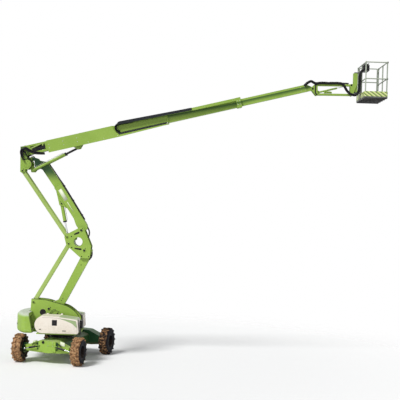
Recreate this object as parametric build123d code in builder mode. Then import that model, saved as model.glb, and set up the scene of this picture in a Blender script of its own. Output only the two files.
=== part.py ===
from build123d import *

import os
from math import atan2, cos, hypot, pi, radians, sin

# Articulating boom lift: self-propelled, two-stage risers, telescopic boom, jib and basket.
#
# Frame: millimetres, +Z up. The origin is on the ground under the slew axis, +X runs
# along the boom towards the basket, and the hinges of the arm lie along Y.

os.makedirs("parts", exist_ok=True)

# ---------------------------------------------------------------- running clearances
RUN = 0.5  # radial gap of a pin in its bore
GAP = 8.0  # side gap between plates that pass each other
FACE = 6.0  # gap between faces that turn or slide past each other

# ---------------------------------------------------------------- chassis and wheels
HEADING = -105.4  # direction of travel, seen from above, degrees from +X
WHEELBASE = 2450.0
TRACK = 1950.0
SLEW_FORWARD = 235.0  # slew axis ahead of the middle of the wheelbase
TYRE_RADIUS = 440.0  # to the tips of the lugs
TYRE_WIDTH = 300.0
LUG_HEIGHT = 34.0
LUG_COUNT = 15
LUG_WIDTH = 44.0
RIM_RADIUS = 212.0
RIM_WALL = 8.0
STEER_REST = 4.5  # the front wheels stand turned a little to the left
KINGPIN_INSET = 215.0  # from the wheel's middle plane in to the kingpin
KINGPIN_RADIUS = 32.0
STEER_ARM = 185.0  # kingpin to the steering ram's eye
DECK_TOP = 720.0
FRAME_WALL = 12.0
FRAME_HALF = 420.0

# ---------------------------------------------------------------- slewing gear and turntable
RING_OUTER = 350.0
RING_INNER = 255.0
RING_TOP = 898.0
TABLE_BOTTOM = RING_TOP + FACE
TABLE_PLATE = 30.0
SIDE_IN = 195.0  # inner face of the side plates and knuckle plates
SIDE_WALL = 15.0

# ---------------------------------------------------------------- risers, in side view (X, Z)
PIN_MAIN = 35.0
PIN_TIE = 25.0
TIE_LOWER_FOOT = (-928.0, 1817.0)
RISER_TOP_PIN = (645.0, 3511.0)
TIE_LOWER_HEAD = (142.0, 3711.0)
UPPER_FOOT_PIN = (531.0, 4155.0)
TIE_UPPER_FOOT = (84.0, 3923.0)
TIE_UPPER_HEAD = (-1407.0, 6000.0)
LUFF_FOOT_PIN = (-1092.0, 6020.0)
BOOM_PIVOT = (-1340.0, 6590.0)
RISER_HALF = 130.0
RISER_WALL = 8.0
TIE_IN = 158.0
TIE_THICK = 26.0
TIE_DEPTH = 108.0

# ---------------------------------------------------------------- boom, in its own line (u along, w up)
BOOM_ANGLE = 14.4
BOOM_HALF = 110.0
BOOM_WALL = 6.0
BOOM_TOP = 215.0
BOOM_BOTTOM = -95.0
BOOM_REAR = 740.0
BOOM_FRONT = 4684.0

# ---------------------------------------------------------------- jib and basket
JIB_PIVOT = (7800.0, 8930.0)
JIB_LOWER_PIN = (7923.0, 8755.0)
JIB_UPPER_PIN = (7913.0, 9061.0)
JIB_REACH = (1130.0, 18.0)
YAW_X = 9190.0  # the basket turns about this line
POST_BOTTOM = 8860.0
POST_HEIGHT = 610.0
BASKET_REAR = 9350.0
BASKET_LENGTH = 735.0
BASKET_X = (BASKET_REAR, BASKET_REAR + BASKET_LENGTH)
BASKET_HALF = 750.0
FLOOR_DROP = 195.0  # from the foot of the post down to the basket's floor
BASKET_FLOOR = POST_BOTTOM - FLOOR_DROP
RAIL_HEIGHT = 1100.0


# ---------------------------------------------------------------- helpers
def write(piece, name):
    """Label a finished piece and write its STEP file."""
    piece.part.label = name
    export_step(piece.part, f"parts/{name}.step")


def add2(a, b):
    """Sum of two side-view points."""
    return (a[0] + b[0], a[1] + b[1])


def sub2(a, b):
    """Difference of two side-view points."""
    return (a[0] - b[0], a[1] - b[1])


def side(y=0.0):
    """Vertical plane along the machine: sketch x is +X, sketch y is +Z."""
    return Plane(origin=(0, y, 0), x_dir=(1, 0, 0), z_dir=(0, -1, 0))


def line_plane(foot, head, y=0.0):
    """Side plane whose x runs from one side-view point to another."""
    angle = atan2(head[1] - foot[1], head[0] - foot[0])
    return Plane(origin=(foot[0], y, foot[1]), x_dir=(cos(angle), 0, sin(angle)), z_dir=(0, -1, 0))


def boom_side(y=0.0):
    """Side plane in the boom's own line, from its pivot."""
    turn = radians(BOOM_ANGLE)
    return Plane(origin=(BOOM_PIVOT[0], y, BOOM_PIVOT[1]), x_dir=(cos(turn), 0, sin(turn)), z_dir=(0, -1, 0))


def boom_section(u):
    """Plane across the boom at u: sketch x is +Y, sketch y is up across the boom."""
    turn = radians(BOOM_ANGLE)
    along = Vector(cos(turn), 0, sin(turn))
    return Plane(origin=Vector(BOOM_PIVOT[0], 0, BOOM_PIVOT[1]) + along * u, x_dir=(0, 1, 0), z_dir=along)


FORWARD = Vector(cos(radians(HEADING)), sin(radians(HEADING)), 0)
LEFT = Vector(-sin(radians(HEADING)), cos(radians(HEADING)), 0)
UP = Vector(0, 0, 1)


def chassis_at(x, y, z):
    """A chassis point: x ahead of the slew axis, y to the machine's left, z up."""
    return FORWARD * x + LEFT * y + UP * z


def chassis_side(y):
    """Plane along the chassis: sketch x is forward, sketch y is up."""
    return Plane(origin=chassis_at(0, y, 0), x_dir=FORWARD, z_dir=LEFT * -1)


def chassis_across(x):
    """Plane across the chassis: sketch x is to the left, sketch y is up."""
    return Plane(origin=chassis_at(x, 0, 0), x_dir=LEFT, z_dir=FORWARD)


def chassis_level(z):
    """Level plane on the chassis: sketch x is forward, sketch y is to the left."""
    return Plane(origin=(0, 0, z), x_dir=FORWARD, z_dir=UP)


def mirrored(points):
    """Close an outline given for the left half by its mirror image."""
    return points + [(-y, z) for y, z in reversed(points) if y != 0]


FRONT_AXLE = WHEELBASE / 2 - SLEW_FORWARD
REAR_AXLE = -WHEELBASE / 2 - SLEW_FORWARD
KINGPIN = TRACK / 2 - KINGPIN_INSET

# ---------------------------------------------------------------- chassis frame
# half section: (to the left, up)
frame_half = [(0, DECK_TOP), (250, DECK_TOP), (FRAME_HALF, 640), (FRAME_HALF, 430), (300, 345), (0, 345)]
FRAME_FRONT = FRONT_AXLE - 120
FRAME_REAR = REAR_AXLE + 190
with BuildPart() as chassis_frame:
    with BuildSketch(chassis_across(FRAME_REAR)):
        Polygon(*mirrored(frame_half), align=None)
        offset(amount=-FRAME_WALL, mode=Mode.SUBTRACT)
    extrude(amount=FRAME_FRONT - FRAME_REAR)
    for station in (FRAME_REAR, FRAME_FRONT - FRAME_WALL):
        with BuildSketch(chassis_across(station)):
            Polygon(*mirrored(frame_half), align=None)
        extrude(amount=FRAME_WALL)
write(chassis_frame, "chassis_frame")

# ---------------------------------------------------------------- slewing ring
with BuildPart() as slew_ring:
    with BuildSketch(Plane.XY.offset(DECK_TOP)):
        Circle(RING_OUTER)
        Circle(RING_INNER, mode=Mode.SUBTRACT)
    extrude(amount=RING_TOP - DECK_TOP)
write(slew_ring, "slew_ring")

# ---------------------------------------------------------------- front axle
AXLE_EYE_RADIUS = 58.0
AXLE_EYE = (370.0, 560.0)  # bottom and top of the kingpin eye
AXLE_HALF_DEPTH = 120.0
BOX_HALF = 285.0
BOX_FRONT = FRONT_AXLE + 165
RAM_BASE_Y = 330.0  # pins of the steering rams' barrels
RAM_BASE_Z = 545.0
RAM_BASE_AHEAD = 45.0
RAM_EYE_HALF = 18.0
RAM_PIN = 12.0
RAM_NECK = 54.0
axle_half = [(0, 715), (BOX_HALF, 715), (KINGPIN - 80, 558), (KINGPIN - 40, 558)]
axle_half += [(KINGPIN - 40, 380), (BOX_HALF, 350), (0, 340)]
with BuildPart() as front_axle:
    with BuildSketch(chassis_across(FRONT_AXLE - AXLE_HALF_DEPTH)):
        Polygon(*mirrored(axle_half), align=None)
        offset(amount=-FRAME_WALL, mode=Mode.SUBTRACT)
    extrude(amount=2 * AXLE_HALF_DEPTH)
    for station in (FRONT_AXLE - AXLE_HALF_DEPTH, FRONT_AXLE + AXLE_HALF_DEPTH - FRAME_WALL):
        with BuildSketch(chassis_across(station)):
            Polygon(*mirrored(axle_half), align=None)
        extrude(amount=FRAME_WALL)
    # front box with a rounded belly
    with BuildSketch(chassis_across(FRONT_AXLE + AXLE_HALF_DEPTH)):
        with BuildLine():
            Polyline((-BOX_HALF, 395), (-BOX_HALF, 715), (BOX_HALF, 715), (BOX_HALF, 395))
            ThreePointArc((BOX_HALF, 395), (0, 345), (-BOX_HALF, 395))
        make_face()
        with Locations((-129, 672)):
            Circle(45, mode=Mode.SUBTRACT)
    extrude(amount=BOX_FRONT - FRONT_AXLE - AXLE_HALF_DEPTH)
    for hand in (-1, 1):
        eye = chassis_at(FRONT_AXLE, hand * KINGPIN, AXLE_EYE[0])
        with BuildSketch(Plane(origin=eye, x_dir=FORWARD, z_dir=UP)):
            Circle(AXLE_EYE_RADIUS)
            with Locations((0, -hand * 50)):
                Rectangle(2 * 70, 100)
            Circle(KINGPIN_RADIUS + RUN, mode=Mode.SUBTRACT)
        extrude(amount=AXLE_EYE[1] - AXLE_EYE[0])
        # two flat lugs and a pin for the steering ram
        for low in (RAM_BASE_Z - RAM_EYE_HALF - FACE - 12, RAM_BASE_Z + RAM_EYE_HALF + FACE):
            with BuildSketch(chassis_level(low)):
                with Locations((BOX_FRONT + RAM_BASE_AHEAD, hand * RAM_BASE_Y)):
                    Circle(32)
                with Locations((BOX_FRONT - 20, hand * (BOX_HALF - 30))):
                    Rectangle(36, 56)
                make_hull()
            extrude(amount=12)
        with BuildSketch(chassis_level(RAM_BASE_Z - RAM_EYE_HALF - FACE - 18)):
            with Locations((BOX_FRONT + RAM_BASE_AHEAD, hand * RAM_BASE_Y)):
                Circle(RAM_PIN)
        extrude(amount=2 * (RAM_EYE_HALF + FACE + 18))
write(front_axle, "front_axle")

# ---------------------------------------------------------------- rear axle
REAR_HALF_DEPTH = 190.0
REAR_END = TRACK / 2 - TYRE_WIDTH / 2 - 30
rear_half = [(0, 805), (390, 785), (REAR_END, 600), (REAR_END, 340), (560, 320), (0, 320)]
SPINDLE_RADIUS = 50.0
HUB_PLANE = TRACK / 2 - 40.0  # inner face of the rim's disc, from the machine's middle
with BuildPart() as rear_axle:
    with BuildSketch(chassis_across(REAR_AXLE - REAR_HALF_DEPTH)):
        Polygon(*mirrored(rear_half), align=None)
        offset(amount=-FRAME_WALL, mode=Mode.SUBTRACT)
    extrude(amount=2 * REAR_HALF_DEPTH)
    for station in (REAR_AXLE - REAR_HALF_DEPTH, REAR_AXLE + REAR_HALF_DEPTH - FRAME_WALL):
        with BuildSketch(chassis_across(station)):
            Polygon(*mirrored(rear_half), align=None)
        extrude(amount=FRAME_WALL)
    for hand in (-1, 1):
        start = chassis_at(REAR_AXLE, hand * (REAR_END - FRAME_WALL), TYRE_RADIUS)
        with BuildSketch(Plane(origin=start, x_dir=UP, z_dir=LEFT * hand)):
            Circle(SPINDLE_RADIUS)
        extrude(amount=HUB_PLANE - FACE - REAR_END + FRAME_WALL)
write(rear_axle, "rear_axle")


# ---------------------------------------------------------------- wheels
def wheel_frame(axle_x, hand, turn):
    """Centre and outward direction of a wheel: hand is +1 on the left."""
    out = LEFT.rotate(Axis.Z, turn) * hand
    if turn == 0:
        return chassis_at(axle_x, hand * TRACK / 2, TYRE_RADIUS), out
    king = chassis_at(axle_x, hand * KINGPIN, TYRE_RADIUS)
    return king + out * KINGPIN_INSET, out


CARCASS = TYRE_RADIUS - LUG_HEIGHT
half = TYRE_WIDTH / 2
# tyre half section: (outward from the middle plane, radius)
tyre_half = [(0, CARCASS), (half * 0.82, CARCASS - 12), (half, CARCASS - 60), (half, RIM_RADIUS + 70)]
tyre_half += [(half * 0.86, RIM_RADIUS), (0, RIM_RADIUS)]
# wheel disc and rim section: (outward from the middle plane, radius)
disc_in = HUB_PLANE - TRACK / 2
rim_section = [(-half * 0.86, RIM_RADIUS), (half * 0.86, RIM_RADIUS), (half * 0.86, RIM_RADIUS - RIM_WALL)]
rim_section += [(disc_in + 60, RIM_RADIUS - RIM_WALL), (disc_in + 14, 150)]
rim_section += [(disc_in + 60, 80), (disc_in + 60, 0)]
rim_section += [(disc_in, 0), (disc_in, 150), (disc_in + 40, RIM_RADIUS - RIM_WALL)]
rim_section += [(-half * 0.86, RIM_RADIUS - RIM_WALL)]
LUG_SLANT = 62.0
LUG_REACH = half * 0.98
LUG_CORNER = (LUG_WIDTH + LUG_SLANT) / 2
LUG_PITCH = pi / LUG_COUNT  # from a lug to its neighbour in the other bank
LUG_FACE = (TYRE_RADIUS - LUG_CORNER * sin(LUG_PITCH)) / cos(LUG_PITCH)  # the corners touch the ground
wheels = {
    "front_left": (FRONT_AXLE, 1, STEER_REST),
    "front_right": (FRONT_AXLE, -1, STEER_REST),
    "rear_left": (REAR_AXLE, 1, 0),
    "rear_right": (REAR_AXLE, -1, 0),
}
for place, (axle_x, hand, turn) in wheels.items():
    centre, out = wheel_frame(axle_x, hand, turn)
    ahead = UP.cross(out)
    section = Plane(origin=centre, x_dir=out, z_dir=out.cross(UP))
    with BuildPart() as tyre:
        with BuildSketch(section):
            Polygon(*(tyre_half + [(-x, r) for x, r in reversed(tyre_half) if x != 0]), align=None)
        revolve(axis=Axis(centre, out))
        for lug in range(LUG_COUNT):
            for bank, lead in ((1, 0), (-1, 180 / LUG_COUNT)):
                spin = radians(360 / LUG_COUNT * lug + lead)
                radial = UP * -cos(spin) + ahead * sin(spin)
                foot = Plane(origin=centre + radial * (CARCASS - 30), x_dir=out, z_dir=radial)
                with BuildSketch(foot):
                    Polygon(
                        (bank * 6, -LUG_WIDTH / 2 - LUG_SLANT / 2),
                        (bank * LUG_REACH, -LUG_WIDTH / 2 + LUG_SLANT / 2),
                        (bank * LUG_REACH, LUG_WIDTH / 2 + LUG_SLANT / 2),
                        (bank * 6, LUG_WIDTH / 2 - LUG_SLANT / 2),
                        align=None,
                    )
        extrude(amount=LUG_FACE - CARCASS + 30)
    write(tyre, f"tyre_{place}")
    with BuildPart() as rim:
        with BuildSketch(section):
            Polygon(*rim_section, align=None)
        revolve(axis=Axis(centre, out))
    write(rim, f"rim_{place}")

# ---------------------------------------------------------------- steering knuckles and rams
RAM_EYE_Z = 450.0
FORK = 34.0
for place, hand, stroke_back in (("left", 1, 108), ("right", -1, 82)):
    turn = STEER_REST
    out = LEFT.rotate(Axis.Z, turn) * hand
    ahead = FORWARD.rotate(Axis.Z, turn)
    king = chassis_at(FRONT_AXLE, hand * KINGPIN, 0)
    with BuildPart() as knuckle:
        for low in (AXLE_EYE[0] - FACE - FORK, AXLE_EYE[1] + FACE):
            with BuildSketch(Plane(origin=king + UP * low, x_dir=ahead, z_dir=UP)):
                Circle(AXLE_EYE_RADIUS)
                with Locations((0, hand * 50)):
                    Rectangle(2 * AXLE_EYE_RADIUS, 100)
            extrude(amount=FORK)
        fork_low = king + out * 72 + UP * (AXLE_EYE[0] - FACE - FORK)
        with BuildSketch(Plane(origin=fork_low, x_dir=ahead, z_dir=UP)):
            with Locations((0, hand * 14)):
                Rectangle(2 * AXLE_EYE_RADIUS, 28)
        extrude(amount=AXLE_EYE[1] - AXLE_EYE[0] + 2 * FACE + 68)
        with BuildSketch(Plane(origin=king + out * 90 + UP * TYRE_RADIUS, x_dir=UP, z_dir=out)):
            Circle(SPINDLE_RADIUS)
        extrude(amount=KINGPIN_INSET - (TRACK / 2 - HUB_PLANE) - FACE - 90)
        with BuildSketch(Plane(origin=king + UP * (AXLE_EYE[0] - FACE - 34), x_dir=ahead, z_dir=UP)):
            Circle(KINGPIN_RADIUS)
        extrude(amount=AXLE_EYE[1] - AXLE_EYE[0] + 2 * FACE + 68)
        with BuildSketch(Plane(origin=king + UP * (AXLE_EYE[0] - FACE - 34), x_dir=ahead, z_dir=UP)):
            with Locations((STEER_ARM / 2, 0)):
                Rectangle(STEER_ARM, 60)
            with Locations((STEER_ARM, 0)):
                Circle(30)
        extrude(amount=34)
    write(knuckle, f"knuckle_{place}")

    base = chassis_at(BOX_FRONT + RAM_BASE_AHEAD, hand * RAM_BASE_Y, RAM_BASE_Z)
    eye = king + ahead * STEER_ARM + UP * RAM_EYE_Z
    reach = eye - base
    aim = reach.normalized()
    across = aim.cross(UP).normalized()
    barrel_length = reach.length * 0.62
    rod_start = 62 + stroke_back
    with BuildPart() as steer_barrel:
        with BuildSketch(Plane(origin=base + aim * RAM_NECK, x_dir=across, z_dir=aim)):
            Circle(30)
        extrude(amount=barrel_length - RAM_NECK)
        with BuildSketch(Plane(origin=base - UP * RAM_EYE_HALF, x_dir=FORWARD, z_dir=UP)):
            Circle(26)
        extrude(amount=2 * RAM_EYE_HALF)
        with BuildSketch(Plane(origin=base + aim * 21, x_dir=across, z_dir=aim)):
            Circle(16)
        extrude(amount=RAM_NECK - 15)
        with BuildSketch(Plane(origin=base - UP * (RAM_EYE_HALF + 1), x_dir=FORWARD, z_dir=UP)):
            Circle(RAM_PIN + RUN)
        extrude(amount=2 * RAM_EYE_HALF + 2, mode=Mode.SUBTRACT)
        with BuildSketch(Plane(origin=base + aim * 60, x_dir=across, z_dir=aim)):
            Circle(16 + RUN)
        extrude(amount=barrel_length, mode=Mode.SUBTRACT)
    write(steer_barrel, f"steer_barrel_{place}")
    with BuildPart() as steer_rod:
        with BuildSketch(Plane(origin=base + aim * rod_start, x_dir=across, z_dir=aim)):
            Circle(16)
        extrude(amount=reach.length - rod_start - 10)
        with BuildSketch(Plane(origin=eye - UP * 18, x_dir=FORWARD, z_dir=UP)):
            Circle(28)
        extrude(amount=36)
    write(steer_rod, f"steer_rod_{place}")

# ---------------------------------------------------------------- turntable frame
RISER_FOOT_PIN = sub2(RISER_TOP_PIN, sub2(TIE_LOWER_HEAD, TIE_LOWER_FOOT))
TABLE_TOP = TABLE_BOTTOM + TABLE_PLATE
COWL_IN = 350.0
COWL_TOP = 1470.0
HINGE_Y = COWL_IN - 5
HINGE_Z = COWL_TOP + 12
HINGE_STATIONS = (-430.0, 20.0)
HINGE_HALF = 30.0
HINGE_EYE = 9.0
HINGE_PIN = 5.0
HINGE_PLATE = 6.0
PIN_GAP = 2.0
HINGE_REACH = HINGE_HALF + PIN_GAP + HINGE_PLATE
SIDE_PORT = (-611.0, 1500.0)
SIDE_PORT_RADIUS = 92.0
POD_HALF = 930.0
with BuildPart() as turntable_frame:
    with BuildSketch(Plane.XY.offset(TABLE_BOTTOM)):
        with Locations((-110, 0)):
            Rectangle(1480, 900)
        with Locations((-60, 0)):
            Rectangle(1240, 2 * (POD_HALF + 10))
    extrude(amount=TABLE_PLATE)
    with BuildSketch(Plane.XY.offset(DECK_TOP + 60)):
        Circle(RING_INNER - FACE)
        Circle(RING_INNER - 60, mode=Mode.SUBTRACT)
    extrude(amount=TABLE_BOTTOM - DECK_TOP - 60)
    for hand in (-1, 1):
        with BuildSketch(side(hand * (SIDE_IN + SIDE_WALL / 2))):
            with BuildLine():
                Polyline((-804, TABLE_TOP), (-1009, 1382), (-985, 1917), (-533, 1890), (22, 1757))
                ThreePointArc((22, 1757), (345, 1600), (559, 1354))
                Polyline((559, 1354), (615, TABLE_TOP), (-804, TABLE_TOP))
            make_face()
            with Locations(SIDE_PORT):
                Circle(SIDE_PORT_RADIUS, mode=Mode.SUBTRACT)
            Polygon((-215, 1395), (-120, 1395), (-120, 1530), align=None, mode=Mode.SUBTRACT)
        extrude(amount=SIDE_WALL / 2, both=True)
        with BuildSketch(side(hand * (SIDE_IN + SIDE_WALL + 12))):
            with Locations((-208, 1432)):
                Circle(160)
                Circle(140, mode=Mode.SUBTRACT)
        extrude(amount=12, both=True)
    # cross plate behind the riser foot
    with BuildSketch(side(0)):
        Polygon((-800, TABLE_TOP), (-780, TABLE_TOP), (-780, 1300), (-800, 1300), align=None)
    extrude(amount=SIDE_IN, both=True)
    for centre, radius in ((RISER_FOOT_PIN, PIN_MAIN), (TIE_LOWER_FOOT, PIN_TIE)):
        with BuildSketch(side(0)):
            with Locations(centre):
                Circle(radius)
        extrude(amount=SIDE_IN + SIDE_WALL + 12, both=True)
    # brackets and pins that the cowls hang on
    for hand in (-1, 1):
        for station in HINGE_STATIONS:
            for low in (station - HINGE_HALF - PIN_GAP - HINGE_PLATE, station + HINGE_HALF + PIN_GAP):
                with BuildSketch(Plane(origin=(low, 0, 0), x_dir=(0, 1, 0), z_dir=(1, 0, 0))):
                    with Locations((hand * HINGE_Y, HINGE_Z), (hand * (SIDE_IN + SIDE_WALL), HINGE_Z)):
                        Circle(HINGE_EYE)
                    make_hull()
                extrude(amount=HINGE_PLATE)
            with BuildSketch(Plane(origin=(station - HINGE_REACH, 0, 0), x_dir=(0, 1, 0), z_dir=(1, 0, 0))):
                with Locations((hand * HINGE_Y, HINGE_Z)):
                    Circle(HINGE_PIN)
            extrude(amount=2 * HINGE_REACH)
write(turntable_frame, "turntable_frame")

# ---------------------------------------------------------------- counterweight
POD_REAR = -1430.0
POD_FRONT = -815.0
POD_HEIGHT = 610.0
POD_CORNER = 160.0
POD_TOP_ROUND = 130.0
POD_LOW_ROUND = 80.0
POD_BOW = 330.0  # how far the rear face bows out
POD_SLOPE = 145.0  # how far the front face leans back at its top
with BuildPart() as counterweight:
    with BuildSketch(Plane.XY.offset(TABLE_BOTTOM + 16)):
        with BuildLine():
            Polyline((POD_REAR + POD_BOW, -POD_HALF), (POD_FRONT, -POD_HALF), (POD_FRONT, POD_HALF))
            Line((POD_FRONT, POD_HALF), (POD_REAR + POD_BOW, POD_HALF))
            ThreePointArc((POD_REAR + POD_BOW, POD_HALF), (POD_REAR, 0), (POD_REAR + POD_BOW, -POD_HALF))
        make_face()
    extrude(amount=POD_HEIGHT)
    fillet(counterweight.edges().filter_by(Axis.Z).sort_by(Axis.X)[:2], radius=POD_CORNER)
    fillet(counterweight.faces().sort_by(Axis.Z)[-1].edges().sort_by(Axis.X)[:-1], radius=POD_TOP_ROUND)
    fillet(counterweight.faces().sort_by(Axis.Z)[0].edges().sort_by(Axis.X)[:-1], radius=POD_LOW_ROUND)
    with BuildSketch(side(0)):
        Polygon(
            (POD_FRONT + 5, TABLE_BOTTOM), (POD_FRONT + 5, 1600), (POD_FRONT - POD_SLOPE, 1600),
            (POD_FRONT, TABLE_BOTTOM), align=None,
        )
    extrude(amount=POD_HALF + 50, both=True, mode=Mode.SUBTRACT)
    # slot for the side plates, seat on the base plate, and cored pockets open to the front
    with BuildSketch(Plane.XY.offset(TABLE_BOTTOM)):
        with Locations((-925, 0)):
            Rectangle(230, 2 * (SIDE_IN + SIDE_WALL + GAP))
    extrude(amount=700, mode=Mode.SUBTRACT)
    with BuildSketch(Plane.XY.offset(TABLE_BOTTOM)):
        with Locations((-835, 0)):
            Rectangle(50, 2 * POD_HALF + 10)
    extrude(amount=TABLE_PLATE, mode=Mode.SUBTRACT)
    with BuildSketch(Plane.XY.offset(TABLE_TOP + 60)):
        with Locations((-980, -560), (-980, 560)):
            Rectangle(340, 560)
    extrude(amount=440, mode=Mode.SUBTRACT)
write(counterweight, "counterweight")

# ---------------------------------------------------------------- what the turntable carries
with BuildPart() as engine_block:
    with BuildSketch(Plane.XY.offset(TABLE_TOP)):
        with Locations((-60, 560)):
            Rectangle(820, 420)
    extrude(amount=370)
write(engine_block, "engine_block")

with BuildPart() as hydraulic_tank:
    with BuildSketch(Plane.XY.offset(TABLE_TOP)):
        with Locations((-260, -570), (200, -570)):
            Rectangle(430, 370)
    extrude(amount=330)
write(hydraulic_tank, "hydraulic_tank")

with BuildPart() as ground_controls:
    with BuildSketch(Plane.XY.offset(TABLE_BOTTOM)):
        with Locations((617.5, -700)):
            Rectangle(115, 120)
    extrude(amount=20)
    with BuildSketch(Plane.XY.offset(TABLE_BOTTOM)):
        with Locations((660, -700)):
            Rectangle(30, 120)
    extrude(amount=220)
    with BuildSketch(Plane.XY.offset(TABLE_BOTTOM + 206)):
        with Locations((690, -700)):
            RectangleRounded(90, 250, 30)
    extrude(amount=235)
write(ground_controls, "ground_controls")

# ---------------------------------------------------------------- cowls, hinged along their top inner edge
COWL_OUT = 985.0
COWL_WALL = 8.0
COWL_BOTTOM = 930.0
COWL_CENTRE = 600.0
COWL_SPAN = 1500.0
COWL_DEPTH = 800.0
for place, hand in (("right", -1), ("left", 1)):
    with BuildPart() as cowl:
        for inset, mode in ((0, Mode.ADD), (COWL_WALL, Mode.SUBTRACT)):
            with BuildSketch(side(hand * COWL_IN)):
                with BuildLine():
                    Polyline((-500, COWL_BOTTOM), (560, COWL_BOTTOM))
                    ThreePointArc((560, COWL_BOTTOM), (615, 955), (626, 1020))
                    Line((626, 1020), (600, 1350))
                    ThreePointArc((600, 1350), (575, 1385), (540, 1396))
                    Polyline((540, 1396), (-20, 1462), (-500, COWL_TOP))
                    ThreePointArc((-500, COWL_TOP), (-735, 1200), (-500, COWL_BOTTOM))
                make_face()
                if inset:
                    offset(amount=-inset, mode=Mode.REPLACE)
            extrude(amount=-hand * (COWL_OUT - COWL_IN - inset), mode=mode)
        with BuildSketch(Plane.XY.offset(COWL_BOTTOM - 1)):
            with Locations((-100, hand * COWL_CENTRE)):
                Rectangle(COWL_SPAN, COWL_DEPTH)
        extrude(amount=COWL_WALL + 4, mode=Mode.SUBTRACT)
        # hinge sleeves along the top inner edge
        for station in HINGE_STATIONS:
            across = Plane(origin=(station - HINGE_HALF, 0, 0), x_dir=(0, 1, 0), z_dir=(1, 0, 0))
            with BuildSketch(across):
                with Locations((hand * HINGE_Y, HINGE_Z)):
                    Circle(HINGE_EYE + 2)
                with Locations((hand * (COWL_IN + 16), COWL_TOP - 12)):
                    Rectangle(28, 24)
                make_hull()
            extrude(amount=2 * HINGE_HALF)
            with BuildSketch(across):
                with Locations((hand * HINGE_Y, HINGE_Z)):
                    Circle(HINGE_PIN + RUN)
            extrude(amount=2 * HINGE_HALF, mode=Mode.SUBTRACT)
    write(cowl, f"cowl_{place}")

# ---------------------------------------------------------------- lower riser
EAR = 75.0


def box_beam(outline, wall, plane_at, halfwidth):
    """Hollow beam from a side outline, added to the open builder."""
    with BuildSketch(plane_at(0)) as outside:
        Polygon(*outline, align=None)
    extrude(outside.sketch, amount=halfwidth, both=True)
    with BuildSketch(plane_at(0)) as inside:
        Polygon(*outline, align=None)
        offset(amount=-wall, mode=Mode.REPLACE)
    extrude(inside.sketch, amount=halfwidth - wall, both=True, mode=Mode.SUBTRACT)


def boss(centre, outer, inner, halfwidth, plane_at=side):
    """Tube across the machine with a pin bore, added to the open builder."""
    with BuildSketch(plane_at(0)) as tube:
        with Locations(centre):
            Circle(outer)
    extrude(tube.sketch, amount=halfwidth, both=True)
    with BuildSketch(plane_at(0)) as bore:
        with Locations(centre):
            Circle(inner)
    extrude(bore.sketch, amount=halfwidth + 1, both=True, mode=Mode.SUBTRACT)


# along the line from foot pin to top pin: (along, across to the left)
lower_outline = [(-40, 60), (-60, -60), (190, -330), (500, -338), (2000, -276), (2300, -215)]
lower_outline += [(2330, -60), (2290, 55), (2130, 60), (1950, -12), (380, -112), (180, 50)]
RISER_LENGTH = hypot(*sub2(RISER_TOP_PIN, RISER_FOOT_PIN))


def lower_side(y=0.0):
    """Side plane along the lower riser's pins, from its foot pin."""
    return line_plane(RISER_FOOT_PIN, RISER_TOP_PIN, y)


with BuildPart() as riser_lower:
    box_beam(lower_outline, RISER_WALL, lower_side, RISER_HALF)
    boss((0, 0), EAR, PIN_MAIN + RUN, RISER_HALF, lower_side)
    boss((RISER_LENGTH, 0), EAR, PIN_MAIN + RUN, RISER_HALF, lower_side)
write(riser_lower, "riser_lower")


def tie_bars(foot, head):
    """Pair of flat tie bars between two pins, added to the open builder."""
    length = hypot(*sub2(head, foot))
    for hand in (-1, 1):
        with BuildSketch(line_plane(foot, head, hand * (TIE_IN + TIE_THICK / 2))) as bar:
            with Locations((length / 2, 0)):
                SlotCenterToCenter(length, TIE_DEPTH)
            with Locations((0, 0), (length, 0)):
                Circle(PIN_TIE + RUN, mode=Mode.SUBTRACT)
        extrude(bar.sketch, amount=TIE_THICK / 2, both=True)


with BuildPart() as tie_lower:
    tie_bars(TIE_LOWER_FOOT, TIE_LOWER_HEAD)
write(tie_lower, "tie_lower")

# ---------------------------------------------------------------- middle knuckle
PORT = (444.0, 3783.0)
PORT_RADIUS = 140.0
SLOT_WIDTH = 46.0
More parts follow.
